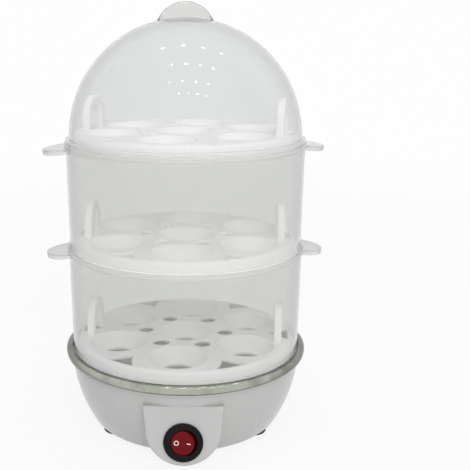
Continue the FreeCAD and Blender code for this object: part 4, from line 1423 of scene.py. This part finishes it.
@dataclass
class DomeLid:
    """Clear dome with a flange and a hollow half-disc grip."""

    foot: float = 181.49
    flange_radius: float = 72.9
    flange: float = 2.2
    radius: float = 70.8
    wall: float = 1.5
    height: float = 72.8
    grip_radius: float = 18.0
    grip_height: float = 9.0
    grip_foot: float = 12.0
    grip_crown: float = 9.4
    grip_round: float = 2.5
    grip_wall: float = 1.6
    grip_inner_round: float = 1.2

    def dome(self, inset: float) -> Mesh:
        """Closed dome, drawn in by an inset.

        Args:
            inset: Zero for the outside with its flange, the wall for the inside.

        Returns:
            The closed mesh.
        """
        radius = self.radius - inset
        middle = self.height - self.radius
        slope = math.sqrt(0.5) * radius
        if inset > 0.0:
            outline = Outline(0.0, -1.0).line(radius, -1.0).line(radius, middle)
        else:
            outline = Outline(0.0, 0.0).line(self.flange_radius, 0.0, 0.3)
            outline.line(self.flange_radius, self.flange, 0.7).line(radius, self.flange)
        return outline.arc((slope, middle + slope), (0.0, middle + radius), 72).spin()

    def grip(self, inset: float, rounding: float) -> Mesh:
        """Half disc of the grip, drawn in by an inset.

        Args:
            inset: Zero for the outside, the wall for the inside.
            rounding: Rounding of its long edges.

        Returns:
            The closed mesh.
        """
        top = self.height + self.grip_height
        low = top - self.grip_radius
        taper = (self.grip_foot - self.grip_crown) / 2.0 / self.grip_height
        # A disc from minus one to one across, whose width then follows the taper.
        mesh = rod(self.grip_radius - inset, 2.0, shift(0.0, 1.0, low) @ turn(90.0, "X"), 144)
        cut_below(mesh, low)
        for vert in mesh.verts:
            vert.co.y *= self.grip_crown / 2.0 - inset + taper * (top - vert.co.z)
        bmesh.ops.recalc_face_normals(mesh, faces=mesh.faces)
        return bevelled(
            mesh,
            rounding,
            8,
            lambda edge: is_sharp(edge)
            and max(vert.co.z for vert in edge.verts) > low + 0.5
            and edge.verts[0].co.y * edge.verts[1].co.y > 0.0,
        )

    def build(self, finishes: Finishes) -> None:
        """Make the lid.

        Args:
            finishes: Finishes of the boiler.
        """
        outside = combined(self.dome(0.0), self.grip(0.0, self.grip_round), Combine.ADD)
        inside = combined(self.dome(self.wall), self.grip(self.grip_wall, self.grip_inner_round), Combine.ADD)
        mesh = moved(combined(outside, inside, Combine.TAKE), shift(0.0, 0.0, self.foot))
        placing = Placing("dome_lid", "lid", "clear_lid", ("lid",))
        piece = place_piece(mesh, finishes.by_slot["clear_lid"], placing)
        pole = self.foot + self.height
        thicken_look(piece, finishes.thick, (pole, pole + self.grip_height * 2.0))
        thicken_look(piece, finishes.thick, (self.foot - self.wall, self.foot + self.flange))


@dataclass(frozen=True)
class Lamp:
    """Soft round lamp that clear plastic does not show."""

    name: str
    place: Triple
    aim: Triple
    size: float
    power: float

    def hang(self, mirrored: bool) -> None:
        """Hang the lamp.

        Args:
            mirrored: Whether glossy surfaces mirror it.
        """
        data = bpy.data.lights.new(self.name, "AREA")
        data.shape = "DISK"
        data.size = self.size
        data.energy = self.power
        lamp = bpy.data.objects.new(self.name, data)
        lamp.visible_transmission = False
        lamp.visible_glossy = mirrored
        lamp.location = self.place
        lamp.rotation_euler = (Vector(self.aim) - Vector(self.place)).to_track_quat("-Z", "Y").to_euler()
        bpy.context.scene.collection.objects.link(lamp)


@dataclass
class Studio:
    """Floor, light and camera, in metres and watts unless a name says otherwise."""

    camera_distance_mm: float = 500.8
    camera_height_mm: float = 246.6
    pitch_degrees: float = 14.05
    orbit_degrees: float = 1.0
    lens_mm: float = 62.69
    sensor_mm: float = 36.0
    shift_x: float = 0.1053
    floor_half: float = 4.0
    # Where the floor's own look starts to give way to plain white, and where it has.
    fade_reach: Pair = (0.25, 1.2)
    fade_start: float = 0.88
    white: float = 0.99
    soft: float = 0.5
    middle: Triple = (0.0, 0.0, 0.12)
    # Left end, right end and distance behind the middle of each row of small lamps that the dome mirrors.
    spot_rows: tuple[Triple, ...] = (
        (-0.587, 0.975, 0.38),
        (-0.4, 0.895, -0.52),
        (-0.589, 0.931, -1.35),
        (-0.265, 1.02, -2.08),
    )
    spots_in_row: int = 4
    spot_height: float = 2.4
    spot_size: float = 0.1
    spot_power: float = 0.3

    def seen_directly(self, tree: Tree) -> Socket:
        """Tell where the backdrop is seen straight, mirrored or through clear plastic.

        Args:
            tree: Node tree to add to.

        Returns:
            One where it is, zero elsewhere.
        """
        sight = add_node(tree, "ShaderNodeLightPath").outputs
        straight = either(tree, sight["Is Camera Ray"], sight["Is Transmission Ray"])
        return either(tree, straight, sight["Is Glossy Ray"])

    def floor(self) -> None:
        """Lay the pale floor that keeps the object's shadow."""
        mesh = bmesh.new()
        bmesh.ops.create_grid(mesh, x_segments=8, y_segments=8, size=self.floor_half)
        data = bpy.data.meshes.new("floor")
        mesh.to_mesh(data)
        mesh.free()
        material = bpy.data.materials.new("pale_floor")
        tree = emptied(material)
        # The floor runs out into plain white, so that no horizon shows.
        length = add_node(tree, "ShaderNodeVectorMath", {"operation": "LENGTH"}, {0: object_place(tree)})
        fade = ranged(tree, length.outputs["Value"], self.fade_start, 1.0, self.fade_reach)
        links = {0: self.seen_directly(tree), 1: fade}
        share = add_node(tree, "ShaderNodeMath", {"operation": "MULTIPLY"}, links).outputs[0]
        paint = add_node(tree, "ShaderNodeBsdfDiffuse", {"Color": linear("EAEAE9")})
        glow = add_node(tree, "ShaderNodeEmission", {"Color": linear("FFFFFF"), "Strength": self.white})
        add_node(tree, "ShaderNodeOutputMaterial", {}, {"Surface": mixed(tree, share, paint, glow)})
        data.materials.append(material)
        ground = bpy.data.objects.new("floor", data)
        bpy.context.scene.collection.objects.link(ground)

    def world(self) -> None:
        """Set a white backdrop and a plain soft light from all round."""
        world = bpy.data.worlds.new("studio")
        bpy.context.scene.world = world
        tree = emptied(world)
        soft = add_node(tree, "ShaderNodeBackground", {"Color": linear("FAFBFD"), "Strength": self.soft})
        white = add_node(tree, "ShaderNodeBackground", {"Color": linear("FFFFFF"), "Strength": self.white})
        surface = mixed(tree, self.seen_directly(tree), soft, white)
        add_node(tree, "ShaderNodeOutputWorld", {}, {"Surface": surface})

    def lamps(self) -> None:
        """Hang the two large soft lamps and the rows of small ones."""
        Lamp("ceiling", (0.1, -0.2, 2.5), self.middle, 3.0, 22.0).hang(mirrored=False)
        Lamp("front", (0.3, -1.9, 1.2), self.middle, 1.3, 23.0).hang(mirrored=False)
        for row, (first, last, depth) in enumerate(self.spot_rows):
            for column in range(self.spots_in_row):
                x = first + (last - first) * column / (self.spots_in_row - 1)
                place = (x, depth, self.spot_height)
                lamp = Lamp(f"spot_{row}_{column}", place, (x, depth, 0.0), self.spot_size, self.spot_power)
                lamp.hang(mirrored=True)

    def camera(self) -> None:
        """Stand the camera where the photograph was taken."""
        data = bpy.data.cameras.new("camera")
        data.lens = self.lens_mm
        data.sensor_width = self.sensor_mm
        data.shift_x = self.shift_x
        camera = bpy.data.objects.new("camera", data)
        angle = math.radians(self.orbit_degrees)
        reach = self.camera_distance_mm * MM
        camera.location = (reach * math.sin(angle), -reach * math.cos(angle), self.camera_height_mm * MM)
        camera.rotation_euler = (math.radians(90.0 - self.pitch_degrees), 0.0, angle)
        bpy.context.scene.collection.objects.link(camera)
        bpy.context.scene.camera = camera

    def build(self) -> None:
        """Set up the whole studio."""
        self.floor()
        self.world()
        self.lamps()
        self.camera()
        bpy.context.scene.view_settings.view_transform = "Standard"


def stacked(turns: dict[str, float], first: float) -> dict[str, Pair]:
    """Turn and height by node, from turns listed from the lowest storey up and its height."""
    return {node: (turns[node], first + STOREY_STEP * level) for level, node in enumerate(turns)}


def main() -> None:
    """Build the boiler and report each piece."""
    logging.basicConfig(level=logging.INFO, format="%(name)s %(message)s")
    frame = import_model()
    finishes = Finishes()
    for part in frame["record"]["subparts"]:
        finishes.dress(frame["nodes"][part["node"]], part["material_slot"])
    base = Base()
    base.build(finishes)
    RockerSwitch().build(finishes, base.panel)
    trays = {"tray_lower": -4.9, "tray_middle": -2.7, "tray_upper": -12.0}
    EggTray().build(finishes, stacked(trays, FIRST_PLATE))
    walls = {"tier_lower": 4.7, "tier_upper": 8.0}
    StoreyWall().build(finishes, stacked(walls, FIRST_PLATE - WALL_DROP))
    DomeLid().build(finishes)
    Studio().build()


if __name__ == "__main__":
    main()
